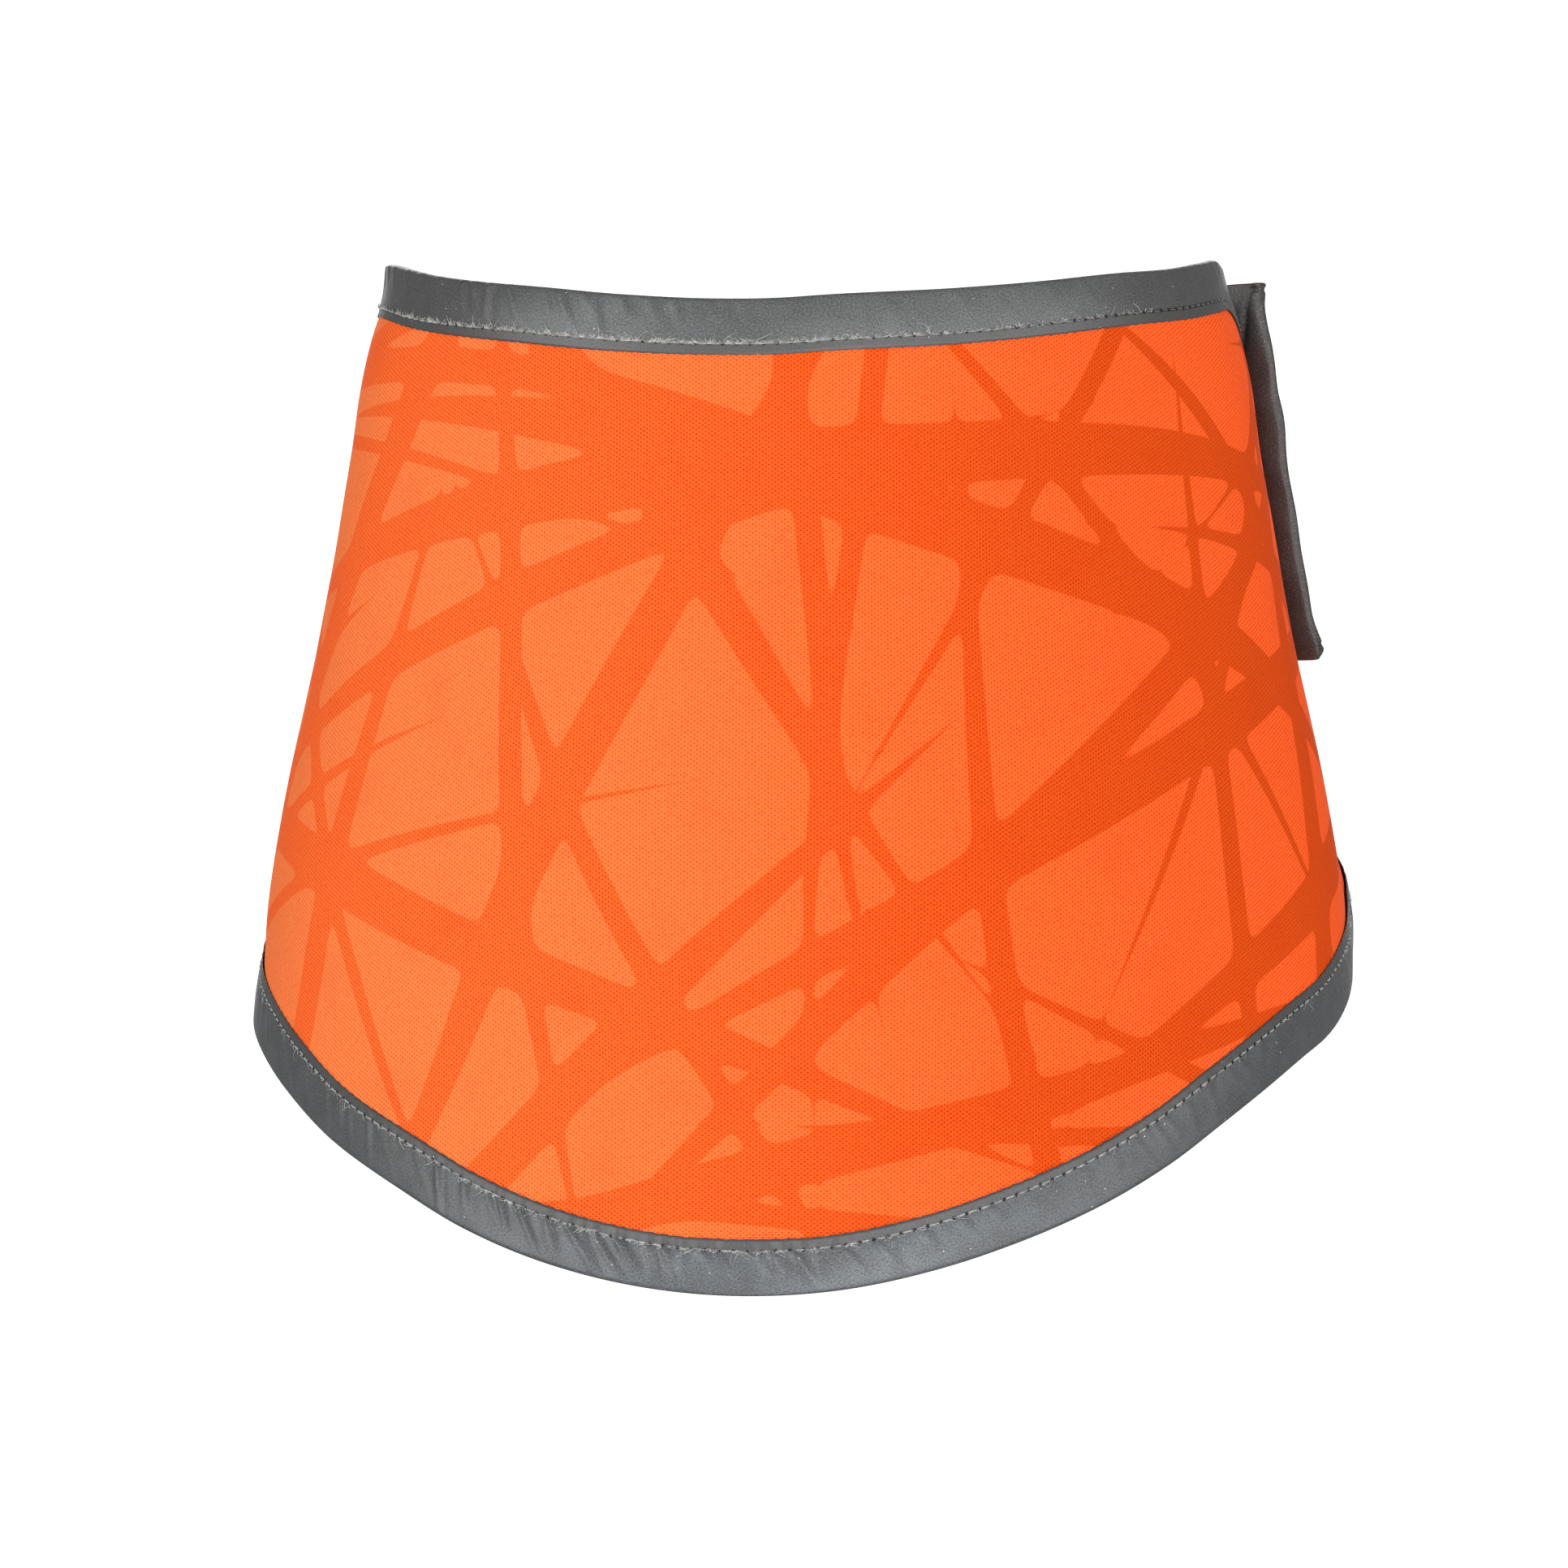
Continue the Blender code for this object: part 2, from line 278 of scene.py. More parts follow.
def ring(wrap, z):
    """Point of the inner wing's oval at a height, and the level direction out of it."""
    down = (RIM_HEIGHT - z) / BODY_HEIGHT
    across = np.sin(np.radians(wrap))
    ahead = np.cos(np.radians(wrap))
    half_width = NECK_HALF_WIDTH * curve(SECTION_TABLE, "half_width", down)
    front = NECK_FRONT_DEPTH * curve(SECTION_TABLE, "front_depth", down)
    back = NECK_BACK_DEPTH * curve(SECTION_TABLE, "back_depth", down)
    half_depth = np.where(ahead > 0, front, back)
    point = np.stack([half_width * across, -half_depth * ahead, z + 0 * across], axis=-1)
    out = np.stack([across * half_depth, -ahead * half_width, 0 * across], axis=-1)
    return point, out / np.linalg.norm(out, axis=-1, keepdims=True)


# Length along the oval for a degree of wrap, next to the outer end
END_SPAN = ring(np.array([OUTER_END_DEG - 0.5, OUTER_END_DEG + 0.5]), np.zeros(2))[0]
END_RATE = float(np.linalg.norm(END_SPAN[1] - END_SPAN[0]))


def lift(wrap, z):
    """How far the cloth stands outside the oval: over the lap, then in the curl of the free end."""
    lap = WRAP_LIFT * ease((LIFT_START_DEG - wrap) / (LIFT_START_DEG - LIFT_DONE_DEG))
    from_end = (wrap - OUTER_END_DEG) * END_RATE
    curl = np.clip(CURL_LENGTH - from_end, 0.0, None) ** 2 / (2 * CURL_LENGTH)
    return lap + CURL_SLOPE * curve(CURL_TABLE, "slope", z / RIM_HEIGHT) * curl


def corner_flare(wrap, z):
    """How far the cloth stands out near the hem's right corner."""
    above = np.maximum(z - hem(wrap) - CORNER_REACH, 0.0) / CORNER_FADE
    return 0.001 * curve(CORNER_TABLE, "flare", wrap) * np.exp(-(above**2))


def middle(wrap, z):
    """Point on the middle of the cloth at a wrap angle and a height."""
    point, out = ring(wrap, z)
    return point + (lift(wrap, z) + corner_flare(wrap, z))[..., None] * out


def cloth(wrap, z, off):
    """Point at a distance off the middle of the cloth, along its outward normal."""
    wrap, z, off = np.broadcast_arrays(
        np.asarray(wrap, dtype=float), np.asarray(z, dtype=float), np.asarray(off, dtype=float)
    )
    along = middle(wrap + PROBE_DEG, z) - middle(wrap - PROBE_DEG, z)
    up = middle(wrap, z + PROBE_HEIGHT) - middle(wrap, z - PROBE_HEIGHT)
    normal = np.cross(along, up)
    normal /= np.linalg.norm(normal, axis=-1, keepdims=True)
    return middle(wrap, z) + off[..., None] * normal


# Path length along the cloth at the height of the origin, from the outer end
PATH_DEG = np.linspace(OUTER_END_DEG, INNER_END_DEG, PATH_SAMPLES)
PATH_STEPS = np.linalg.norm(np.diff(middle(PATH_DEG, 0 * PATH_DEG), axis=0), axis=1)
PATH = np.concatenate([[0.0], np.cumsum(PATH_STEPS)])
PATH_LENGTH = float(PATH[-1])


def wrap_at(length):
    """Wrap angle at a distance along the cloth from its outer end."""
    return np.interp(length, PATH, PATH_DEG)


def edge_stretch(edge, wrap):
    """Height taken by a unit width of tape where the edge runs at a slope."""
    before = wrap - PROBE_DEG
    after = wrap + PROBE_DEG
    along = middle(after, edge(after)) - middle(before, edge(before))
    slope = along[..., 2] / np.linalg.norm(along[..., :2], axis=-1)
    fall = middle(wrap, edge(wrap)) - middle(wrap, edge(wrap) - PROBE_HEIGHT)
    return np.sqrt(1 + slope * slope) * PROBE_HEIGHT / np.linalg.norm(fall, axis=-1)


# Path length from the outer end to the middle of the front
FRONT_AT = float(np.interp(0.0, PATH_DEG, PATH))


def flat_cut(length, z):
    """Place in the flat cut cloth, in metres, of a point at a length along the path and a height."""
    angle = (length - FRONT_AT) / CUT_RADIUS
    radius = CUT_RADIUS - z
    return radius * np.sin(angle), CUT_RADIUS - radius * np.cos(angle)


def bump(x, centre, width):
    """Gaussian of height 1."""
    return np.exp(-(((x - centre) / width) ** 2))


def taper(distance, reach):
    """1 at a distance of 0, falling straight to 0 at the reach."""
    return np.clip(1.0 - distance / reach, 0.0, 1.0)


def add_object(name, data):
    """New object in the scene."""
    obj = bpy.data.objects.new(name, data)
    bpy.context.scene.collection.objects.link(obj)
    return obj


def smooth_mesh(name, points, faces, look):
    """Mesh of smooth faces with one material."""
    mesh = bpy.data.meshes.new(name)
    mesh.from_pydata(points.tolist(), [], faces)
    mesh.polygons.foreach_set("use_smooth", [True] * len(mesh.polygons))
    mesh.materials.append(look)
    return mesh


def wall(name, outer, inner, flat, look, inside_look=None):
    """Closed wall between two grids of points, with flat coordinates as its UVs.

    The inner grid's faces take the inside look where one is given.
    """
    rows, columns = outer.shape[:2]
    count = rows * columns
    index = np.arange(count).reshape(rows, columns)
    corners = (index[:-1, :-1], index[1:, :-1], index[1:, 1:], index[:-1, 1:])
    front = np.stack(corners, axis=-1).reshape(-1, 4)
    back = front[:, ::-1] + count
    border = np.concatenate([index[0, :-1], index[:-1, -1], index[-1, :0:-1], index[:0:-1, 0]])
    after = np.roll(border, -1)
    sides = np.stack([border, after, after + count, border + count], axis=-1)
    faces = np.concatenate([front, back, sides])
    points = np.concatenate([outer.reshape(-1, 3), inner.reshape(-1, 3)])
    mesh = smooth_mesh(name, points, faces.tolist(), look)
    layer = mesh.uv_layers.new(name="flat")
    corner_points = np.empty(len(mesh.loops), dtype=np.int32)
    mesh.loops.foreach_get("vertex_index", corner_points)
    layer.data.foreach_set("uv", flat.reshape(-1, 2)[corner_points % count].astype(np.float32).ravel())
    shell = bmesh.new()
    shell.from_mesh(mesh)
    bmesh.ops.recalc_face_normals(shell, faces=shell.faces)
    shell.to_mesh(mesh)
    shell.free()
    if inside_look:
        mesh.materials.append(inside_look)
        slots = np.zeros(len(faces), dtype=np.int32)
        slots[len(front):len(front) + len(back)] = 1
        mesh.polygons.foreach_set("material_index", slots)
    return add_object(name, mesh)


def node(tree, kind, *inputs, **settings):
    """First output of a new shader node; an input is a number, a vector, a link or None."""
    made = tree.nodes.new(kind)
    for key, value in settings.items():
        setattr(made, key, value)
    for socket, value in zip(made.inputs, inputs):
        if isinstance(value, bpy.types.NodeSocket):
            tree.links.new(value, socket)
        elif value is not None:
            socket.default_value = value
    return made.outputs[0]


def math_node(tree, operation, *inputs):
    """Result of a Math node."""
    return node(tree, "ShaderNodeMath", *inputs, operation=operation)


def vector_node(tree, operation, *inputs):
    """Result of a Vector Math node."""
    return node(tree, "ShaderNodeVectorMath", *inputs, operation=operation)


def axes(tree, vector):
    """The three numbers of a vector."""
    made = tree.nodes.new("ShaderNodeSeparateXYZ")
    tree.links.new(vector, made.inputs[0])
    return made.outputs


def object_place(tree):
    """Place in the part's own space, in metres."""
    return tree.nodes.new("ShaderNodeTexCoord").outputs["Object"]


def ramp(tree, value, low, high, at_low=0.0, at_high=1.0):
    """Smooth step of a value from one limit, where it is at_low, to the other, where it is at_high."""
    return node(
        tree, "ShaderNodeMapRange", value, low, high, at_low, at_high, interpolation_type="SMOOTHSTEP"
    )


def mix(tree, factor, first, second):
    """Blend of two colours."""
    made = tree.nodes.new("ShaderNodeMix")
    made.data_type = "RGBA"
    sockets = [s for s in made.inputs if s.enabled]
    for socket, value in zip(sockets, (factor, first, second)):
        if isinstance(value, bpy.types.NodeSocket):
            tree.links.new(value, socket)
        else:
            socket.default_value = value
    return [s for s in made.outputs if s.enabled][0]


def tint(tree, tone, colour, value, *limits):
    """A tone blended towards a colour by a ramp of a value."""
    return mix(tree, ramp(tree, value, *limits), tone, colour)


def noise(tree, vector, scale, detail=2.0):
    """Noise value at a scale in cells a metre."""
    made = tree.nodes.new("ShaderNodeTexNoise")
    tree.links.new(vector, made.inputs["Vector"])
    made.inputs["Scale"].default_value = scale
    made.inputs["Detail"].default_value = detail
    return made.outputs[0]


def new_material(name, roughness, metallic=0.0, sheen=0.0):
    """Principled material and its node tree."""
    made = bpy.data.materials.new(name)
    made.use_nodes = True
    shader = made.node_tree.nodes["Principled BSDF"]
    shader.inputs["Roughness"].default_value = roughness
    shader.inputs["Metallic"].default_value = metallic
    shader.inputs["Sheen Weight"].default_value = sheen
    return made, made.node_tree, shader


def set_bump(tree, shader, height, distance, strength=1.0):
    """Bump from a height field, in metres a unit."""
    made = tree.nodes.new("ShaderNodeBump")
    made.inputs["Strength"].default_value = strength
    made.inputs["Distance"].default_value = distance
    tree.links.new(height, made.inputs["Height"])
    tree.links.new(made.outputs[0], shader.inputs["Normal"])


# Print: nearly straight tapering bands in a random layout, one for each cell of a grid over the cloth.
# CELL is where in a cell the band's middle may lie, BAND_TURN the turn to the next band as a share of half
# a circle, and BEND and BEND_SCALE how far and how often the bands bow.
PRINT_SEED = 281
PRINT_COLUMNS = 13
PRINT_ROWS = 5
WIDE_SHARE = 0.44
WIDE_HALF = (0.0040, 0.0067)
NARROW_HALF = (0.0018, 0.0033)
WIDE_REACH = (0.120, 0.190)
NARROW_REACH = (0.100, 0.170)
EDGE_BLUR = 0.00020
CORNER_ROUNDING = 0.0045
CELL = (0.1, 0.9)
BAND_TURN = 0.382
TURN_SPREAD = 0.07
BEND = 0.018
BEND_SCALE = 5.0


def print_bands():
    """Random bands, in whole threes: middle u and v, direction, half width and half length."""
    rng = np.random.default_rng(PRINT_SEED)
    bands = []
    turn = 0.0
    for column in range(PRINT_COLUMNS):
        for row in range(PRINT_ROWS):
            along = (column + rng.uniform(*CELL)) / PRINT_COLUMNS * PATH_LENGTH
            z = RIM_HEIGHT - (row + rng.uniform(*CELL)) / PRINT_ROWS * BODY_HEIGHT
            u, v = flat_cut(along, z)
            turn += math.pi * (BAND_TURN + rng.uniform(-TURN_SPREAD, TURN_SPREAD))
            wide = rng.random() < WIDE_SHARE
            half = rng.uniform(*(WIDE_HALF if wide else NARROW_HALF))
            reach = rng.uniform(*(WIDE_REACH if wide else NARROW_REACH))
            bands.append((float(u), float(v), turn, half, reach))
    return bands[:len(bands) // 3 * 3]


def print_field(tree, place):
    """Distance outside the nearest band, from three bands at a time in the three channels."""
    across, down, _ = axes(tree, place)
    u = node(tree, "ShaderNodeCombineXYZ", across, across, across)
    v = node(tree, "ShaderNodeCombineXYZ", down, down, down)
    bands = print_bands()
    nearest = None
    for first in range(0, len(bands), 3):
        at_u, at_v, turn, half, reach = np.array(bands[first:first + 3]).T
        cos, sin = np.cos(turn), np.sin(turn)
        side = vector_node(tree, "MULTIPLY_ADD", v, list(cos), list(at_u * sin - at_v * cos))
        side = vector_node(tree, "MULTIPLY_ADD", u, list(-sin), side)
        along = vector_node(tree, "MULTIPLY_ADD", v, list(sin), list(-at_u * cos - at_v * sin))
        along = vector_node(tree, "MULTIPLY_ADD", u, list(cos), along)
        side = vector_node(tree, "ABSOLUTE", side)
        along = vector_node(tree, "MULTIPLY", along, along)
        side = vector_node(tree, "SUBTRACT", side, list(half))
        outside = vector_node(tree, "MULTIPLY_ADD", along, list(half / reach**2), side)
        nearest = outside if nearest is None else vector_node(tree, "MINIMUM", nearest, outside)
    first, second, third = axes(tree, nearest)
    pair = math_node(tree, "SMOOTH_MIN", first, second, CORNER_ROUNDING)
    return math_node(tree, "SMOOTH_MIN", pair, third, CORNER_ROUNDING)


# Knit: pitch of its staggered holes, in metres, and noise scales, in cells a metre
HOLE_ACROSS = 0.00138
HOLE_DOWN = 0.00048
UNEVEN_SCALE = 1500.0
YARN_SCALE = 900.0
PATCHY_SCALE = 55.0

# Knit colours: cloth and bands at the left and the right of the bib, lighter and yellower at the left and
# darker and redder at the right as painted light and shade; then the painted shade in the holes, and inner
# face
LIGHT_LEFT = (0.95, 0.220, 0.060, 1.0)
LIGHT_RIGHT = (0.98, 0.123, 0.0215, 1.0)
BAND_LEFT = (0.94, 0.150, 0.0285, 1.0)
BAND_RIGHT = (0.65, 0.076, 0.0058, 1.0)
HOLE_SHADE = (0.56, 0.012, 0.001, 1.0)
INSIDE_ORANGE = (0.90, 0.150, 0.034, 1.0)

# Knit, limits of its ramps: rims of the holes, their uneven size, the painted shade to the right and
# behind, the painted shade in the holes from left to right, and two soft shades; BAND_DEPTH deepens the
# painted shade of holes in bands
HOLE_EDGE = (0.20, 0.90)
UNEVEN_HOLES = (0.25, 0.60, 0.45, 1.0)
PAINTED_SHADE_RIGHT = (-0.13, 0.07)
PAINTED_SHADE_BEHIND = (-0.20, -0.28, 0.0, 0.75)
HOLE_SHADE_ACROSS = (-0.12, 0.17, 0.80, 1.10)
YARN_SHADE = (0.55, 0.30, 0.0, 0.16)
PATCHY_SHADE = (0.50, 0.25, 0.0, 0.10)
BAND_DEPTH = 0.20
KNIT_ROUGHNESS = 0.85
KNIT_GLOSS = 0.06
KNIT_RELIEF = 0.00008


def knit_material(name, printed):
    """Blaze-orange knit mesh; the printed one has the bands of the outer face."""
    made, tree, shader = new_material(name, KNIT_ROUGHNESS)
    shader.inputs["Specular IOR Level"].default_value = KNIT_GLOSS
    flat = node(tree, "ShaderNodeUVMap", uv_map="flat")
    u, v, _ = axes(tree, flat)
    across = math_node(tree, "COSINE", math_node(tree, "MULTIPLY", u, 2 * math.pi / HOLE_ACROSS))
    down = math_node(tree, "COSINE", math_node(tree, "MULTIPLY", v, math.pi / HOLE_DOWN))
    lattice = math_node(tree, "MULTIPLY", across, down)
    uneven = noise(tree, flat, UNEVEN_SCALE, 2.0)
    hole = ramp(tree, lattice, *HOLE_EDGE)
    hole = math_node(tree, "MULTIPLY", hole, ramp(tree, uneven, *UNEVEN_HOLES))
    band = 0.0
    tone = INSIDE_ORANGE
    if printed:
        slow = noise(tree, flat, BEND_SCALE, 0.0)
        bend = math_node(tree, "MULTIPLY_ADD", slow, 2 * BEND, -BEND)
        bent = vector_node(tree, "ADD", flat, node(tree, "ShaderNodeCombineXYZ", bend, bend, 0.0))
        band = ramp(tree, print_field(tree, bent), EDGE_BLUR, -EDGE_BLUR)
        # Painted light and shade: the cloth and bands turn darker and redder towards the right and round the
        # back
        painted_shade = math_node(tree, "MAXIMUM", ramp(tree, u, *PAINTED_SHADE_RIGHT), ramp(tree, u, *PAINTED_SHADE_BEHIND))
        light_tone = mix(tree, painted_shade, LIGHT_LEFT, LIGHT_RIGHT)
        band_tone = mix(tree, painted_shade, BAND_LEFT, BAND_RIGHT)
        tone = mix(tree, band, light_tone, band_tone)
    # Painted shade in the knit's holes, growing towards the right and deeper in the printed bands
    side = ramp(tree, u, *HOLE_SHADE_ACROSS)
    depth = math_node(tree, "MULTIPLY", hole, math_node(tree, "MULTIPLY_ADD", band, BAND_DEPTH, side))
    tone = mix(tree, depth, tone, HOLE_SHADE)
    yarn = noise(tree, flat, YARN_SCALE, 3.0)
    patchy = noise(tree, flat, PATCHY_SCALE, 4.0)
    tone = tint(tree, tone, HOLE_SHADE, yarn, *YARN_SHADE)
    tone = tint(tree, tone, HOLE_SHADE, patchy, *PATCHY_SHADE)
    tree.links.new(tone, shader.inputs["Base Color"])
    set_bump(tree, shader, math_node(tree, "SUBTRACT", yarn, hole), KNIT_RELIEF, 0.7)
    return made


# Tape colours: two tones that cloud into each other for the neck, the hem and the two ends, the ends' darker
# and browner as painted shade and painted orange bounce light; then the rest
NECK_TONES = ((0.099, 0.100, 0.099, 1.0), (0.115, 0.117, 0.118, 1.0))
HEM_TONES = ((0.104, 0.108, 0.113, 1.0), (0.128, 0.138, 0.149, 1.0))
SHADED_END_TONES = ((0.042, 0.035, 0.033, 1.0), (0.054, 0.046, 0.044, 1.0))
RAW_STRIP = (0.092, 0.087, 0.086, 1.0)
# Painted shade towards both sides of the bandana
PAINTED_SIDE_SHADE = (0.043, 0.042, 0.036, 1.0)
DARK_GRAIN = (0.035, 0.036, 0.040, 1.0)
PALE_GRAIN = (0.190, 0.200, 0.210, 1.0)
# Painted glint of the glass beads
BEAD_GLINT = (0.80, 0.80, 0.76, 1.0)
# Painted shade of the needle holes and of the seam line
NEEDLE_HOLE_SHADE = (0.010, 0.008, 0.007, 1.0)

# Tape noise and bead scales, in cells a metre
CLOUD_SCALE = 160.0
GRAIN_SCALE = 2500.0
BEAD_SCALE = 800.0

# Tape, limits of its ramps: clouds, specks, the strip past the stitch line, the painted shade of the line
# under the stitches and where it sets in, rims of the needle holes' painted shade, and which beads show a
# painted glint and how large
CLOUDS = (0.32, 0.68)
DARK_SPECKS = (0.50, 0.34, 0.0, 0.60)
PALE_SPECKS = (0.50, 0.68, 0.0, 0.60)
PAST_STITCHES = (-0.0002, 0.0004, 0.0, 0.6)
SEAM_LINE = (0.00042, 0.00022)
SEAM_SPAN = (0.02, 0.085)
NEEDLE_RIM = (0.00058, 0.00026)
GLINT_PICK = (0.930, 0.935)
GLINT_RIM = (0.14, 0.06)
# Most painted shade towards the sides
SIDE_SHADE_SHARE = 0.37
TAPE_ROUGHNESS = 0.48
TAPE_RELIEF = 0.00005
CLOUD_RELIEF = 4.0


def tape_material(name, tones, shine, side_shade_span, seam_shade):
    """Reflective tape, clouded and grainy, with painted bead glints and painted shade in needle holes.

    It takes painted shade out to both sides over a span of distances, and painted shade along its seam
    towards +X.
    """
    made, tree, shader = new_material(name, TAPE_ROUGHNESS, metallic=shine)
    flat = node(tree, "ShaderNodeUVMap", uv_map="flat")
    length, past_line, _ = axes(tree, flat)
    x, _, _ = axes(tree, object_place(tree))
    cloudy = noise(tree, flat, CLOUD_SCALE, 3.0)
    grain = noise(tree, flat, GRAIN_SCALE, 3.0)
    tone = tint(tree, *tones, cloudy, *CLOUDS)
    tone = tint(tree, tone, DARK_GRAIN, grain, *DARK_SPECKS)
    tone = tint(tree, tone, PALE_GRAIN, grain, *PALE_SPECKS)
    tone = tint(tree, tone, RAW_STRIP, past_line, *PAST_STITCHES)
    # Painted shade: the tape darkens towards both sides of the bandana
    tone = tint(tree, tone, PAINTED_SIDE_SHADE, math_node(tree, "ABSOLUTE", x), *side_shade_span, 0.0, SIDE_SHADE_SHARE)
    # Painted shade along the stitch line, setting in towards +X
    seam = ramp(tree, math_node(tree, "ABSOLUTE", past_line), *SEAM_LINE)
    seam = math_node(tree, "MULTIPLY", seam, ramp(tree, x, *SEAM_SPAN, 0.0, seam_shade))
    tone = mix(tree, seam, tone, NEEDLE_HOLE_SHADE)
    # Painted shade in the needle holes
    step = math_node(tree, "PINGPONG", length, STITCH_PITCH / 2)
    reach = math_node(tree, "MULTIPLY", step, step)
    reach = math_node(tree, "SQRT", math_node(tree, "MULTIPLY_ADD", past_line, past_line, reach))
    tone = tint(tree, tone, NEEDLE_HOLE_SHADE, reach, *NEEDLE_RIM)
    # Painted glints: a few beads, more on shinier tape, turn near white
    beads = tree.nodes.new("ShaderNodeTexVoronoi")
    tree.links.new(flat, beads.inputs["Vector"])
    beads.inputs["Scale"].default_value = BEAD_SCALE
    pick = tree.nodes.new("ShaderNodeSeparateColor")
    tree.links.new(beads.outputs["Color"], pick.inputs[0])
    glint = ramp(tree, beads.outputs["Distance"], *GLINT_RIM)
    glint = math_node(tree, "MULTIPLY", ramp(tree, pick.outputs[0], *GLINT_PICK), glint)
    tone = mix(tree, math_node(tree, "MULTIPLY", glint, min(2.5 * shine, 1.0)), tone, BEAD_GLINT)
    tree.links.new(tone, shader.inputs["Base Color"])
    relief = math_node(tree, "MULTIPLY_ADD", cloudy, CLOUD_RELIEF, grain)
    set_bump(tree, shader, relief, TAPE_RELIEF, 0.6)
    return made


# Dark and pale tones of threads, fibres and pile; a thread's painted shade and its ramp over x
THREAD_TONES = ((0.17, 0.165, 0.16, 1.0), (0.55, 0.55, 0.53, 1.0))
THREAD_SHADE = (0.03, 0.03, 0.03, 1.0)
THREAD_SHADE_RAMP = (0.0, 0.085, 0.0, 0.88)
FIBRE_TONES = ((0.30, 0.29, 0.28, 1.0), (0.72, 0.71, 0.68, 1.0))
PILE_TONES = ((0.015, 0.015, 0.016, 1.0), (0.075, 0.075, 0.078, 1.0))
PLY_SCALE = 3500.0
FIBRE_SCALE = 900.0
PILE_SCALE = 1500.0
PLY_RELIEF = 0.00008
PILE_RELIEF = 0.0006


def thread_material(name, shaded_right):
    """Pale grey twisted sewing thread; a shaded one takes painted shade towards +X."""
    made, tree, shader = new_material(name, 0.75, sheen=0.3)
    place = object_place(tree)
    ply = noise(tree, place, PLY_SCALE, 2.0)
    tone = tint(tree, *THREAD_TONES, ply, 0.30, 0.70)
    if shaded_right:
        x, _, _ = axes(tree, place)
        # Painted shade on the thread towards +X
        tone = tint(tree, tone, THREAD_SHADE, x, *THREAD_SHADE_RAMP)
    tree.links.new(tone, shader.inputs["Base Color"])
    set_bump(tree, shader, ply, PLY_RELIEF)
    return made


def fibre_material():
    """Nearly white loose thread fibre."""
    made, tree, shader = new_material("loose_fibre", 0.6, sheen=0.4)
    shade = noise(tree, object_place(tree), FIBRE_SCALE, 1.0)
    tone = tint(tree, *FIBRE_TONES, shade, 0.35, 0.65)
    tree.links.new(tone, shader.inputs["Base Color"])
    return made


def closure_material():
    """Dark hook-and-loop pile."""
    made, tree, shader = new_material("hook_and_loop", 0.95, sheen=0.25)
    flat = node(tree, "ShaderNodeUVMap", uv_map="flat")
    pile = noise(tree, flat, PILE_SCALE, 4.0)
    tone = tint(tree, *PILE_TONES, pile, 0.3, 0.7)
    tree.links.new(tone, shader.inputs["Base Color"])
    set_bump(tree, shader, pile, PILE_RELIEF)
    return made


def make_cloth(look, inside_look):
    """Panel as one dense wall, with its edges inside the folds of the tapes."""
    columns = round(PATH_LENGTH / CLOTH_STEP)
    length = np.linspace(TAPE_STAND, PATH_LENGTH - TAPE_STAND, columns)
    wrap = wrap_at(length)
    top = rim(wrap) - TAPE_STAND * edge_stretch(rim, wrap)
    low = hem(wrap) + TAPE_STAND * edge_stretch(hem, wrap)
    share = np.linspace(0.0, 1.0, CLOTH_ROWS)[:, None]
    z = top + (low - top) * share
    across = np.broadcast_to(wrap, z.shape)
    u, v = flat_cut(np.broadcast_to(length, z.shape), z)
    ripple = RIPPLE * np.sin(u * RIPPLE_ALONG + 3.0 * np.sin(v * RIPPLE_SWAY))
    ripple *= np.sin(v * RIPPLE_DOWN + 1.3)
    outer = cloth(across, z, CLOTH_THICKNESS / 2 + ripple)
    inner = cloth(across, z, -CLOTH_THICKNESS / 2 + ripple)
    return wall("cloth", outer, inner, np.stack([u, v], axis=-1), look, inside_look)


# Cross-section of a folded tape: rows of its outer and inner leg and of the roll between them
OUTSIDE_ROWS = 17
INSIDE_ROWS = 8
ROLL_STEPS = 8

# Relief of an edge tape: puff between stitches and fold, depth and width of the pressed seam, how far the
# outer skin settles past it, scallops of the raw edge, and the most that a groove may sink in
PUFF = 0.00030
PRESS = 0.00014
PRESS_WIDTH = 0.0006
SETTLE = 0.00014
SCALLOP = 0.00008
GROOVE_LIMIT = 0.00018

# Creases of the edge tapes: ranges of step, depth, slope, width and reach, how far on a crease is at its
# fullest, and the share left where the tape is calm
CREASE_SEED = 8
CREASE_STEP = (0.5, 1.7)
CREASE_DEPTH = (0.45, 1.0)
CREASE_SLOPE = (0.15, 0.9)
CREASE_WIDTH = (0.0007, 0.0013)
CREASE_REACH = (0.5, 1.2)
CREASE_FULL = 0.0015
CALM_SHARE = 0.16

# How far the tapes stand off at their raw edge and at their fold, in millimetres, against the wrap angle
FLARE_TABLE = (
    ("wrap_deg", "neck_raw", "neck_fold", "hem_raw", "hem_fold"),
    (-262.0, 0.0, 0.0, 0.0, 0.0),
    (-140.0, 0.0, 0.0, 0.0, 0.0),
    (-130.0, 0.0, 0.0, 0.0, 0.0),
    (-110.0, 0.0, 0.8, 0.3, 0.5),
    (-90.0, 0.0, 1.6, 0.2, 0.9),
    (-70.0, 0.0, 0.6, 0.0, 0.4),
    (-50.0, 0.0, 0.1, 0.0, 0.0),
    (-40.0, 0.0, 0.0, 0.0, 0.0),
    (40.0, 0.0, 0.0, 0.0, 0.0),
    (50.0, 0.0, 0.1, 0.0, 0.0),
    (70.0, 0.0, 0.4, 0.0, 0.1),
    (90.0, 0.1, 0.8, 0.3, 0.1),
    (103.0, 0.2, 0.4, 0.5, 0.3),
    (116.0, 0.1, 0.2, 0.4, 0.2),
    (135.0, 0.0, 0.0, 0.0, 0.0),
    (145.0, 0.0, 0.0, 0.0, 0.0),
    (176.0, 0.0, 0.0, 0.0, 0.0),
)


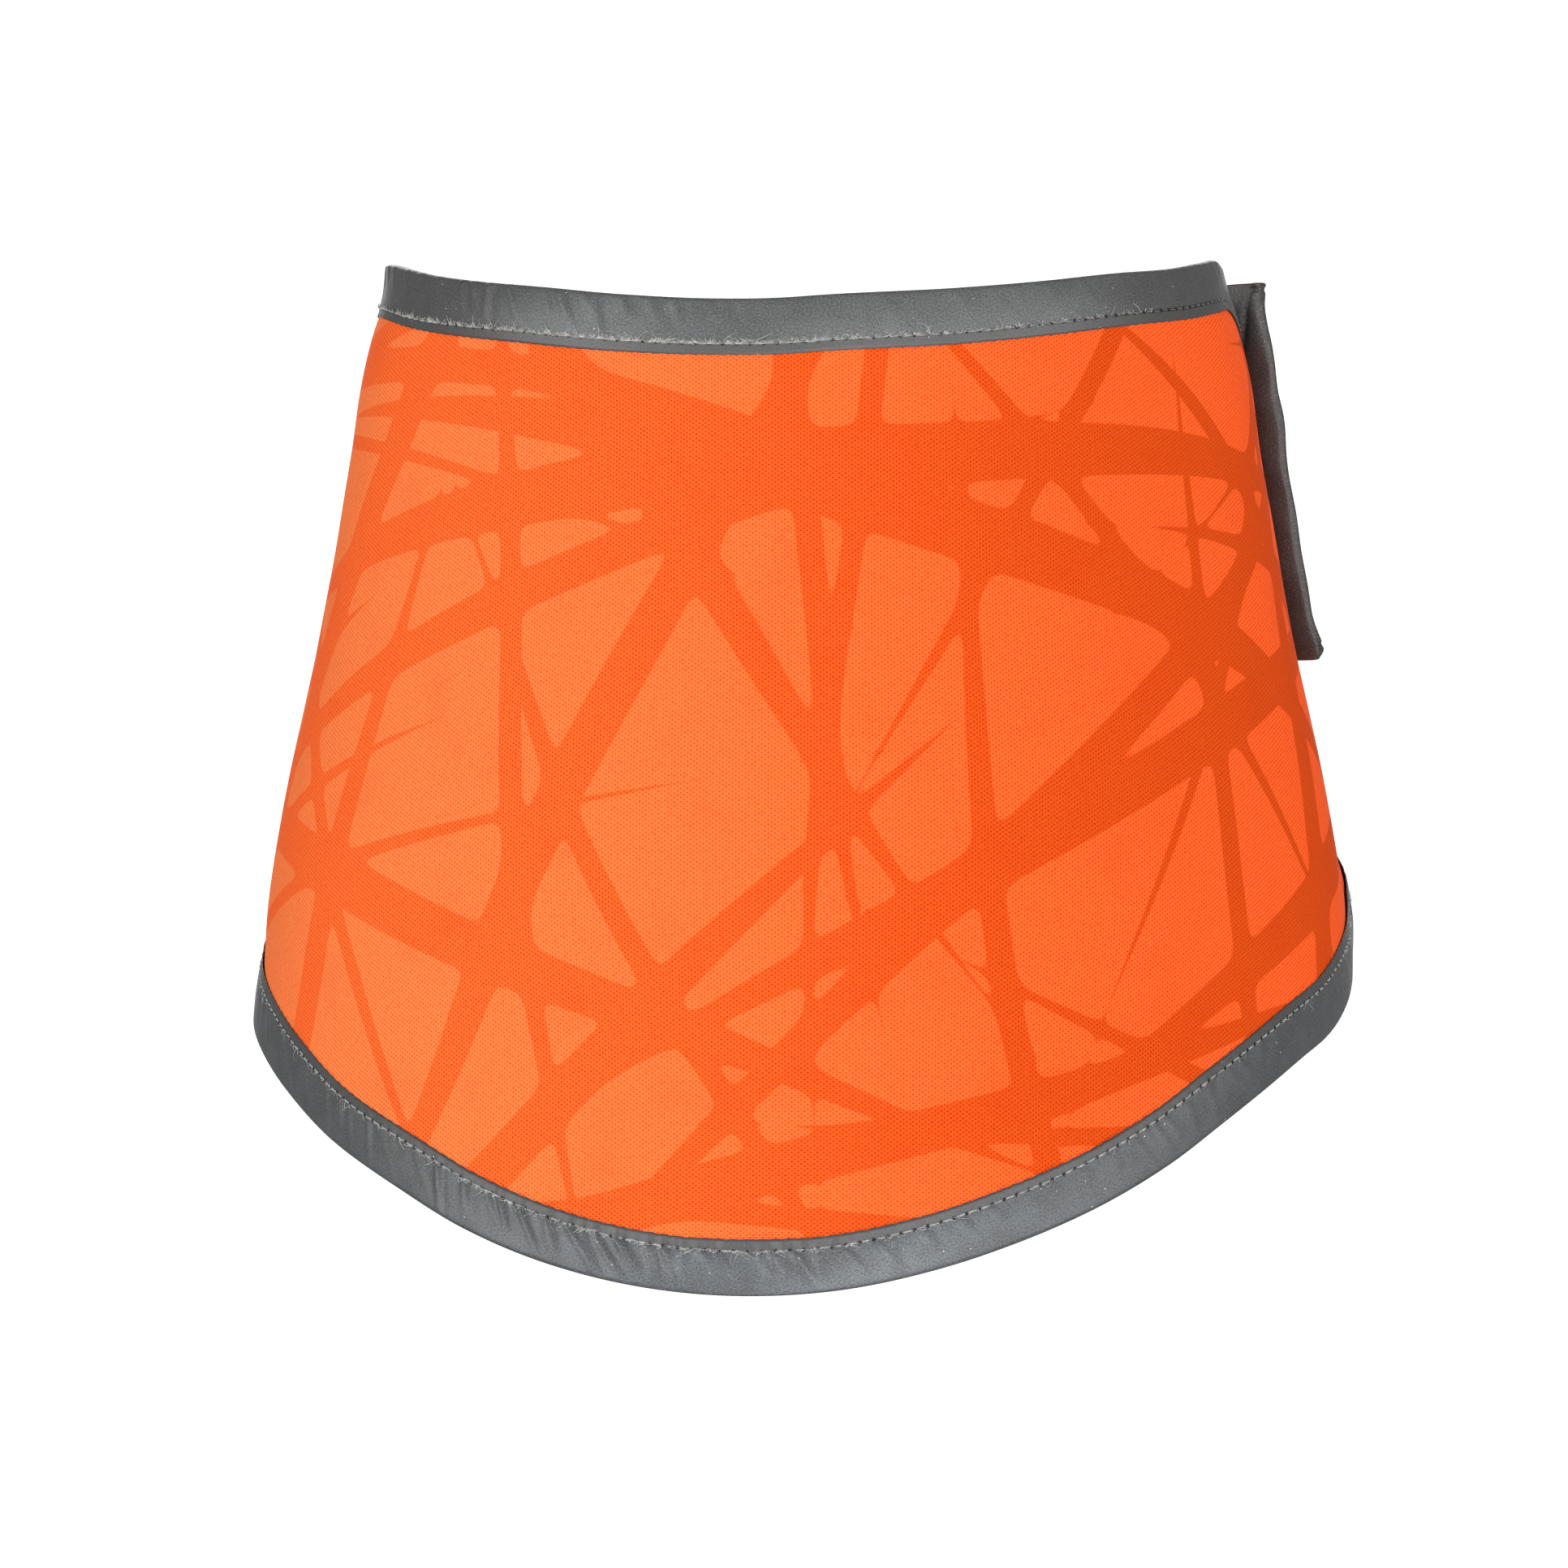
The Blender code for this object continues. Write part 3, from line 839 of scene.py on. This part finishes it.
def creases(rng, total, reach, spacing, depth):
    """Soft slanting creases at uneven steps: place, slope, width, depth and reach of each."""
    marks = []
    place = 0.0
    while place < total:
        place += spacing * rng.uniform(*CREASE_STEP)
        deep = depth * rng.uniform(*CREASE_DEPTH)
        slope = rng.uniform(*CREASE_SLOPE)
        width = rng.uniform(*CREASE_WIDTH)
        marks.append((place, slope, width, deep, reach * rng.uniform(*CREASE_REACH)))
    return marks


def crease_field(marks, length, away):
    """Offset of the creases, each a ridge beside a groove, at a distance from where they start."""
    field = np.zeros_like(length)
    for place, slope, width, depth, reach in marks:
        centre = place + slope * away
        fade = depth * max(1.0 - away / reach, 0.0) * min(0.3 + away / CREASE_FULL, 1.0)
        groove = bump(length, centre + 2.0 * width, 1.2 * width)
        field += fade * (bump(length, centre, width) - 0.5 * groove)
    return field


def edge_run(edge, tape, side):
    """Lengths along the stitch line of an edge tape, and the lengths along the path that they go with."""
    butt = END_TAPE_WIDTH + SEAM_GAP
    path = np.linspace(butt, PATH_LENGTH - butt, RUN_SAMPLES)
    wrap = wrap_at(path)
    z = edge(wrap) + side * (tape(wrap) - inset(side, wrap)) * edge_stretch(edge, wrap)
    line = cloth(wrap, z, TAPE_STAND)
    steps = np.linalg.norm(np.diff(line, axis=0), axis=1)
    return np.concatenate([[0.0], np.cumsum(steps)]), path


# Distance of the stitches from the raw edge, in millimetres, against the wrap angle
INSET_TABLE = (
    ("wrap_deg", "neck", "hem"),
    (-262.0, 2.6, 2.5),
    (-110.0, 2.4, 2.5),
    (-80.0, 1.8, 2.3),
    (-62.0, 2.1, 2.1),
    (-40.0, 2.5, 2.1),
    (0.0, 2.4, 2.5),
    (20.0, 2.5, 2.2),
    (40.0, 2.6, 2.1),
    (60.0, 2.5, 2.3),
    (82.0, 2.2, 3.0),
    (110.0, 2.4, 2.8),
    (176.0, 2.6, 2.5),
)


def inset(side, wrap):
    """Distance of the stitches from the raw edge of the neck tape (side -1) or the hem tape (side 1)."""
    return 0.001 * curve(INSET_TABLE, "hem" if side == 1 else "neck", wrap)


def tape_flare(side, wrap, ratio):
    """How far the outer leg stands off the cloth, at a share of the tape's width from its fold."""
    piece = "hem" if side == 1 else "neck"
    raw = curve(FLARE_TABLE, piece + "_raw", wrap)
    fold = curve(FLARE_TABLE, piece + "_fold", wrap)
    return 0.001 * (raw * ratio + fold * (1.0 - ratio))


def roll(width, stand, skin, inside_rows):
    """Inward distance, offset and leg sign for each row of one skin of the folded tape."""
    depth = stand - skin
    rows = [(inward, depth, 1.0) for inward in np.linspace(width, stand, OUTSIDE_ROWS)]
    for angle in np.linspace(0.0, math.pi, ROLL_STEPS + 2)[1:-1]:
        rows.append((stand - depth * math.sin(angle), depth * math.cos(angle), math.cos(angle)))
    rows += [(inward, -depth, -1.0) for inward in np.linspace(stand, width, inside_rows)]
    return rows


def make_edge_tape(name, edge, tape, side, look, crease_depth, spacing, crease_deg, spread_deg):
    """Tape folded over the neck edge (side -1) or over the hem (side 1).

    Its creases start at the fold on the neck edge and at the stitches on the hem. They are deep round
    one wrap angle, over a spread, and slight elsewhere.
    """
    run, path = edge_run(edge, tape, side)
    total = run[-1]
    length = np.linspace(0.0, total, round(total / TAPE_STEP))
    wrap = wrap_at(np.interp(length, run, path))
    width = tape(wrap)
    unit = edge_stretch(edge, wrap)
    line = 1.0 - inset(side, wrap) / width
    nominal = float(np.mean(width))
    rng = np.random.default_rng(CREASE_SEED + side)
    marks = creases(rng, total, nominal * 0.8, spacing, crease_depth)
    crumpled = CALM_SHARE + (1.0 - CALM_SHARE) * bump(wrap, crease_deg, spread_deg)
    pull = np.cos(2 * math.pi * length / STITCH_PITCH)
    skins = []
    flat = []
    for skin in (0.0, TAPE_THICKNESS):
        points = []
        for inward, offset, leg in roll(nominal, TAPE_STAND, skin, INSIDE_ROWS):
            ratio = inward / nominal
            past_line = (ratio - line) * width
            puff = PUFF * np.sin(math.pi * np.clip(1.0 - ratio / line, 0.0, 1.0))
            press = PRESS * bump(past_line, 0.0, PRESS_WIDTH) * (0.55 + 0.45 * pull)
            away = inward if side == -1 else float(np.mean(np.maximum(-past_line, 0.0)))
            folds = np.maximum(crumpled * crease_field(marks, length, away), -GROOVE_LIMIT)
            if skin == 0.0:
                press = press + SETTLE * ease(past_line / (0.8 * inset(side, wrap)))
            rise = leg * (puff + folds) - np.sign(leg) * press
            rise += max(leg, 0.0) * tape_flare(side, wrap, ratio)
            place = ratio * width + (SCALLOP * pull if ratio > 0.98 else 0.0)
            points.append(cloth(wrap, edge(wrap) + side * place * unit, offset + rise))
            if skin == 0.0:
                flat.append(np.stack([length, past_line], axis=-1))
        skins.append(np.array(points))
    return wall(name, skins[0], skins[1], np.array(flat), look)


# End tapes: a puffy tube along the fold that widens over TUBE_RUN, a soft step beside it that dies out
# downwards, a tuck above the foot and a dent below the mouth
TUBE_TOP = 0.0026
TUBE_WIDTH = 0.0090
TUBE_RUN = 0.0220
TUBE_PUFF = 0.0013
TUBE_FOOT = 0.35
STEP_RISE = 0.75
STEP_WIDTH = 0.0011
STEP_FADE = 0.025
TUCK_HEIGHT = 0.0033
MOUTH_DROP = 0.0015
FOLD_WIDTH = 0.0005
FOLD_DEPTH = 0.45

# End tapes, outline of the fold: waves (height, rate, start), a notch, the cut corner at the foot and the
# small one at the top, and how far foot and top flare out over FLARE_HEIGHT; it fades in over END_FADE
END_WAVES = ((0.00025, 150.0, 0.6), (0.00018, 330.0, 0.0))
END_INSET = 0.0003
END_FADE = 0.004
NOTCH_DEPTH = 0.00035
NOTCH_DROP = 0.026
NOTCH_WIDTH = 0.004
FOOT_CUT = 0.0036
FOOT_CUT_HEIGHT = 0.0024
TOP_CUT = 0.0004
TOP_CUT_HEIGHT = 0.0008
FOOT_FLARE = 0.0026
TOP_FLARE = 0.0013
FLARE_HEIGHT = 0.0110


def tube_width(drop):
    """Width of the tube at a distance below the top of the end, an S as it opens out."""
    return TUBE_TOP + (TUBE_WIDTH - TUBE_TOP) * ease(drop / TUBE_RUN)


def end_edge(drop, height):
    """How far the folded edge draws in from the end of the cloth."""
    wave = sum(size * np.sin(drop * rate + start) for size, rate, start in END_WAVES)
    notch = NOTCH_DEPTH * bump(drop, NOTCH_DROP, NOTCH_WIDTH)
    foot_cut = FOOT_CUT * taper(height - drop, FOOT_CUT_HEIGHT)
    foot_flare = FOOT_FLARE * taper(height - drop, FLARE_HEIGHT) ** 1.5
    top_cut = TOP_CUT * taper(drop, TOP_CUT_HEIGHT) ** 2
    top_flare = TOP_FLARE * taper(drop, FLARE_HEIGHT)
    return END_INSET + wave + notch + foot_cut + top_cut - top_flare - foot_flare


def end_rise(drop, height, inward):
    """Height of the tube and its folds over the flat leg of the end tape."""
    width = tube_width(drop)
    dome = np.sin(math.pi * np.clip(inward / width, 0.0, 1.0)) ** 0.8
    upper = np.clip(1.3 - drop / STEP_FADE, 0.0, 1.0)
    step = STEP_RISE * ease((inward - width) / STEP_WIDTH) * upper
    groove = FOLD_DEPTH * bump(inward, width, FOLD_WIDTH) * upper
    lumps = 1.0 + 0.16 * np.sin(drop * 210.0 + 1.0) + 0.10 * np.sin(drop * 470.0 + inward * 300.0)
    foot = TUBE_FOOT + (1.0 - TUBE_FOOT) * ease((height - drop) / TUCK_HEIGHT)
    tuck = FOLD_DEPTH * bump(height - drop, TUCK_HEIGHT, FOLD_WIDTH)
    mouth = bump(drop, MOUTH_DROP, FOLD_WIDTH) * (inward < width)
    rise = dome * lumps * foot + step - groove - tuck - mouth
    return np.maximum(TUBE_PUFF * rise, -GROOVE_LIMIT)


def make_end_tape(name, start, direction, look):
    """Tape folded over the end of the cloth at a path length, as tall as the wing there."""
    skins = []
    flat = []
    share = np.linspace(0.0, 1.0, END_ROWS)
    for skin in (0.0, TAPE_THICKNESS):
        points = []
        for inward, offset, leg in roll(END_TAPE_WIDTH, TAPE_STAND, skin, OUTSIDE_ROWS):
            wrap = float(wrap_at(start + direction * inward))
            height = float(rim(wrap) - hem(wrap))
            drop = height * share
            near = math.exp(-inward / END_FADE)
            moved = wrap_at(start + direction * (inward + near * end_edge(drop, height)))
            rise = leg * end_rise(drop, height, inward)
            points.append(cloth(moved, rim(wrap) - drop, offset + rise))
            if skin == 0.0:
                past_line = inward - END_TAPE_WIDTH + STITCH_INSET
                flat.append(np.stack([drop, np.full_like(drop, past_line)], axis=-1))
        skins.append(np.array(points))
    return wall(name, skins[0], skins[1], np.array(flat), look)


def make_patch(look):
    """Closed hook-and-loop pair between the two wings."""
    ends = np.interp([PATCH_START_DEG, PATCH_END_DEG], PATH_DEG, PATH)
    length = np.linspace(ends[0], ends[1], PATCH_GRID)
    wrap = wrap_at(length)
    middle_height = (rim(wrap) + hem(wrap)) / 2
    share = np.linspace(0.5, -0.5, PATCH_GRID)[:, None]
    z = middle_height + share * PATCH_HEIGHT
    across = np.broadcast_to(wrap, z.shape)
    half = PATCH_THICKNESS / 2
    outer = cloth(across, z, -WRAP_LIFT / 2 + half)
    inner = cloth(across, z, -WRAP_LIFT / 2 - half)
    u, v = flat_cut(np.broadcast_to(length, z.shape), z)
    return wall("closure", outer, inner, np.stack([u, v], axis=-1), look)


# Sewing thread; a stitch's start and span as shares of the pitch, and its arch and sinking as shares of
# its radius
THREAD_SEED = 21
THREAD_RADIUS = 0.00017
THREAD_SIDES = 6
THREAD_RINGS = 6
STITCH_GAP = 0.12
STITCH_SPAN = 0.76
ARCH = 1.6
SINK = 0.5
SWAY = 0.00010
SLANT = 0.00008


def threads(name, paths, radii, sides, look):
    """One mesh of many thin closed tubes, from their paths (tube, point, xyz) and radii (tube, point)."""
    tangent = np.gradient(paths, axis=1)
    tangent /= np.linalg.norm(tangent, axis=-1, keepdims=True)
    across = np.cross(tangent, (0.13, 0.21, 0.97))
    across /= np.linalg.norm(across, axis=-1, keepdims=True)
    third = np.cross(tangent, across)
    angles = np.linspace(0.0, 2 * math.pi, sides, endpoint=False)[:, None]
    circle = np.cos(angles) * across[:, :, None] + np.sin(angles) * third[:, :, None]
    points = paths[:, :, None] + radii[:, :, None, None] * circle
    index = np.arange(points[..., 0].size).reshape(points.shape[:3])
    this, after = index, np.roll(index, -1, axis=2)
    quads = np.stack([this[:, :-1], after[:, :-1], after[:, 1:], this[:, 1:]], axis=-1)
    caps = np.concatenate([index[:, 0, ::-1], index[:, -1]])
    faces = quads.reshape(-1, 4).tolist() + caps.tolist()
    return add_object(name, smooth_mesh(name, points.reshape(-1, 3), faces, look))


def stitch_paths(total, rng):
    """Length, height and sideways sway of the points of each stitch in a row, and its radii."""
    share = np.linspace(0.0, 1.0, THREAD_RINGS)
    arch = np.sin(math.pi * share)
    first = STITCH_PITCH * np.arange(int(total / STITCH_PITCH))[:, None]
    length = first + STITCH_PITCH * (STITCH_GAP + STITCH_SPAN * share)
    height = THREAD_RADIUS * (ARCH * arch - SINK) * rng.uniform(0.8, 1.2, first.shape)
    sway = rng.uniform(-SWAY, SWAY, first.shape) * arch
    slant = rng.uniform(-SLANT, SLANT, first.shape) * (share - 0.5)
    radius = THREAD_RADIUS * rng.uniform(0.75, 1.15, first.shape) * (0.65 + 0.35 * arch)
    return length, height, sway + slant, radius


def edge_stitches(name, edge, tape, side, look):
    """Lockstitches on both faces of an edge tape."""
    rng = np.random.default_rng(THREAD_SEED + side)
    run, path = edge_run(edge, tape, side)
    paths = []
    radii = []
    for face in (1, -1):
        length, height, sway, radius = stitch_paths(run[-1], rng)
        wrap = wrap_at(np.interp(length, run, path))
        inward = tape(wrap) - inset(side, wrap) + sway
        z = edge(wrap) + side * inward * edge_stretch(edge, wrap)
        off = TAPE_STAND - PRESS + height
        if face == 1:
            off = off + tape_flare(side, wrap, inward / tape(wrap))
        paths.append(cloth(wrap, z, face * off))
        radii.append(radius)
    return threads(name, np.concatenate(paths), np.concatenate(radii), THREAD_SIDES, look)


def end_stitches(name, start, direction, look):
    """Lockstitches on both faces of an end tape."""
    rng = np.random.default_rng(THREAD_SEED + 5)
    wrap = float(wrap_at(start + direction * (END_TAPE_WIDTH - STITCH_INSET)))
    paths = []
    radii = []
    tall = float(rim(wrap) - hem(wrap))
    for face in (1, -1):
        length, height, sway, radius = stitch_paths(tall, rng)
        off = TAPE_STAND + height + end_rise(length, tall, END_TAPE_WIDTH - STITCH_INSET)
        paths.append(cloth(wrap, rim(wrap) - length, face * off))
        radii.append(radius)
    return threads(name, np.concatenate(paths), np.concatenate(radii), THREAD_SIDES, look)


# Loose fibres: number, shortest and longest, for the short ones and the long strays. TANGLE_SHARE of them
# gather round TANGLE_DEG, over TANGLE_SPREAD along the tape.
FIBRE_ROWS = ((1900, 0.0004, 0.0013), (150, 0.0012, 0.0036))
FIBRE_POINTS = 5
FIBRE_SIDES = 3
FIBRE_ROOT = 0.00005
FIBRE_TIP = 0.00003
FIBRE_START = 0.0002
FIBRE_LIFT = 0.00012
TANGLE_DEG = -18.0
TANGLE_SPREAD = 0.042
TANGLE_SHARE = 0.60


def edge_fibres(name, edge, tape, side, look, amount, last_deg):
    """Loose fibres at the stitches of an edge tape, from the outer end to a last wrap angle."""
    rng = np.random.default_rng(THREAD_SEED + 9 + side)
    run, path = edge_run(edge, tape, side)
    share = np.linspace(0.0, 1.0, FIBRE_POINTS)
    tangle, last = np.interp(np.interp([TANGLE_DEG, last_deg], PATH_DEG, PATH), path, run)
    paths = []
    for count, shortest, longest in FIBRE_ROWS:
        size = (int(amount * count), 1)
        worn = np.clip(rng.normal(tangle, TANGLE_SPREAD, size), 0.0, last)
        spot = np.where(rng.uniform(size=size) < TANGLE_SHARE, worn, rng.uniform(0.0, last, size))
        reach = rng.uniform(shortest, longest, size)
        bow = rng.uniform(-1.0, 1.0, size) * share + rng.uniform(-0.9, 0.9, size) * share**2
        climb = rng.uniform(-0.25, 1.0, size) * share
        start = rng.uniform(-FIBRE_START, FIBRE_START, size)
        wrap = wrap_at(np.interp(spot + reach * bow, run, path))
        inward = tape(wrap) - inset(side, wrap) - start - reach * climb
        z = edge(wrap) + side * inward * edge_stretch(edge, wrap)
        off = TAPE_STAND + FIBRE_LIFT + PUFF * share + 0.10 * reach * np.sin(math.pi * share)
        paths.append(cloth(wrap, z, off + tape_flare(side, wrap, inward / tape(wrap))))
    paths = np.concatenate(paths)
    radii = np.broadcast_to(np.linspace(FIBRE_ROOT, FIBRE_TIP, FIBRE_POINTS), paths.shape[:2])
    return threads(name, paths, radii, FIBRE_SIDES, look)


# Studio: height of the floor, size of the paper sweep, and lights by name, place, size and watts
FLOOR_HEIGHT = -0.42
SWEEP_RADIUS = 5.0
SWEEP_BEND = 1.5
SWEEP_HEIGHT = 7.0
PAPER = (0.9, 0.9, 0.9, 1.0)
WHITE = (1.0, 1.0, 1.0, 1.0)
PAPER_GLOW = 0.8
WORLD_STRENGTH = 0.35
LIGHT_TARGET = (0.0, 0.0, -0.06)
LIGHTS = (
    ("key", (-2.15, -1.5, 0.35), 1.8, 43.0),
    ("fill", (2.15, -1.5, 0.35), 1.8, 31.0),
    ("front", (0.55, -2.6, 0.20), 0.6, 26.0),
    ("bounce", (0.2, -1.9, -1.7), 1.6, 24.0),
    ("back", (0.0, 2.4, 0.7), 1.8, 45.0),
)


def make_stage():
    """Round pale floor that sweeps up to a wall on all sides, well clear of the bandana."""
    sweep = [(0.0, 0.0)]
    for angle in np.linspace(0.0, math.pi / 2, 10):
        out = SWEEP_RADIUS - SWEEP_BEND + SWEEP_BEND * math.sin(angle)
        sweep.append((out, SWEEP_BEND * (1 - math.cos(angle))))
    sweep.append((SWEEP_RADIUS, SWEEP_HEIGHT))
    paper = bmesh.new()
    profile = [paper.verts.new((x, 0.0, FLOOR_HEIGHT + z)) for x, z in sweep]
    edges = [paper.edges.new(pair) for pair in zip(profile, profile[1:])]
    bmesh.ops.spin(
        paper, geom=profile + edges, cent=(0, 0, 0), axis=(0, 0, 1),
        angle=2 * math.pi, steps=64, use_merge=True,
    )
    mesh = bpy.data.meshes.new("backdrop")
    paper.to_mesh(mesh)
    paper.free()
    mesh.polygons.foreach_set("use_smooth", [True] * len(mesh.polygons))
    made, _, shader = new_material("backdrop_paper", 0.9)
    shader.inputs["Base Color"].default_value = PAPER
    shader.inputs["Emission Color"].default_value = WHITE
    shader.inputs["Emission Strength"].default_value = PAPER_GLOW
    mesh.materials.append(made)
    obj = add_object("backdrop", mesh)
    obj.visible_diffuse = False
    obj.visible_glossy = False
    obj.visible_shadow = False


def area_light(name, place, target, size, watts):
    """Soft square light that faces a point."""
    data = bpy.data.lights.new(name, "AREA")
    data.shape = "SQUARE"
    data.size = size
    data.energy = watts
    obj = add_object(name, data)
    obj.location = place
    aim = np.array(target) - np.array(place)
    yaw = math.atan2(-aim[0], aim[1])
    pitch = math.atan2(aim[2], math.hypot(aim[0], aim[1]))
    obj.rotation_euler = (math.pi / 2 + pitch, 0.0, yaw)


def make_lights():
    """Even studio light, a little stronger from the front left."""
    world = bpy.data.worlds.new("studio")
    world.use_nodes = True
    sky = world.node_tree.nodes["Background"]
    sky.inputs["Color"].default_value = WHITE
    sky.inputs["Strength"].default_value = WORLD_STRENGTH
    bpy.context.scene.world = world
    for name, place, size, watts in LIGHTS:
        area_light(name, place, LIGHT_TARGET, size, watts)


def make_camera():
    """Level camera at the photograph's place."""
    data = bpy.data.cameras.new("camera")
    data.sensor_width = SENSOR_MM
    data.lens = SENSOR_MM * -CAMERA_PLACE[1] / FRAME_WIDTH
    obj = add_object("camera", data)
    obj.location = CAMERA_PLACE
    obj.rotation_euler = (math.pi / 2, 0.0, 0.0)
    bpy.context.scene.camera = obj


make_camera()
make_stage()
make_lights()

knit = knit_material("blaze_orange_knit", True)
plain_knit = knit_material("blaze_orange_knit_inside", False)
neck_look = tape_material(
    "grey_reflective_tape_neck", NECK_TONES, shine=0.40, side_shade_span=(0.045, 0.088), seam_shade=0.75
)
hem_look = tape_material(
    "grey_reflective_tape_hem", HEM_TONES, shine=0.40, side_shade_span=(0.020, 0.085), seam_shade=0.0
)
# The end tapes' tones are darkened and browned: painted shade and painted orange bounce light
end_look = tape_material(
    "grey_reflective_tape_end", SHADED_END_TONES, shine=0.10, side_shade_span=(0.045, 0.088), seam_shade=0.6
)
neck_thread = thread_material("grey_thread_neck", True)
thread = thread_material("grey_thread", False)
fibre = fibre_material()

NECK = (rim, rim_tape, -1)
HEM = (hem, hem_tape, 1)
cloth_piece = make_cloth(knit, plain_knit)
neck_tape = make_edge_tape(
    "neck_tape", *NECK, neck_look,
    crease_depth=0.00085, spacing=0.0068, crease_deg=-45.0, spread_deg=35.0,
)
hem_tape_piece = make_edge_tape(
    "hem_tape", *HEM, hem_look,
    crease_depth=0.00150, spacing=0.0052, crease_deg=-14.0, spread_deg=21.0,
)
outer_end = make_end_tape("outer_end_tape", 0.0, 1, end_look)
inner_end = make_end_tape("inner_end_tape", PATH_LENGTH, -1, end_look)
closure = make_patch(closure_material())
trims = [
    edge_stitches("neck_stitches", *NECK, neck_thread),
    edge_stitches("hem_stitches", *HEM, thread),
    end_stitches("outer_end_stitches", 0.0, 1, thread),
    end_stitches("inner_end_stitches", PATH_LENGTH, -1, thread),
    edge_fibres("neck_fibres", *NECK, fibre, amount=1.0, last_deg=50.0),
    edge_fibres("hem_fibres", *HEM, fibre, amount=0.5, last_deg=INNER_END_DEG),
]

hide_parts("panel")
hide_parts("neck_binding")
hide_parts("hem_binding")
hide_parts("outer_end_binding")
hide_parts("inner_end_binding")
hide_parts("closure_patch")
tapes = [neck_tape, hem_tape_piece, outer_end, inner_end]
for piece in [cloth_piece, closure, *tapes, *trims]:
    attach(piece, "root")

bpy.context.scene.view_settings.view_transform = "Standard"
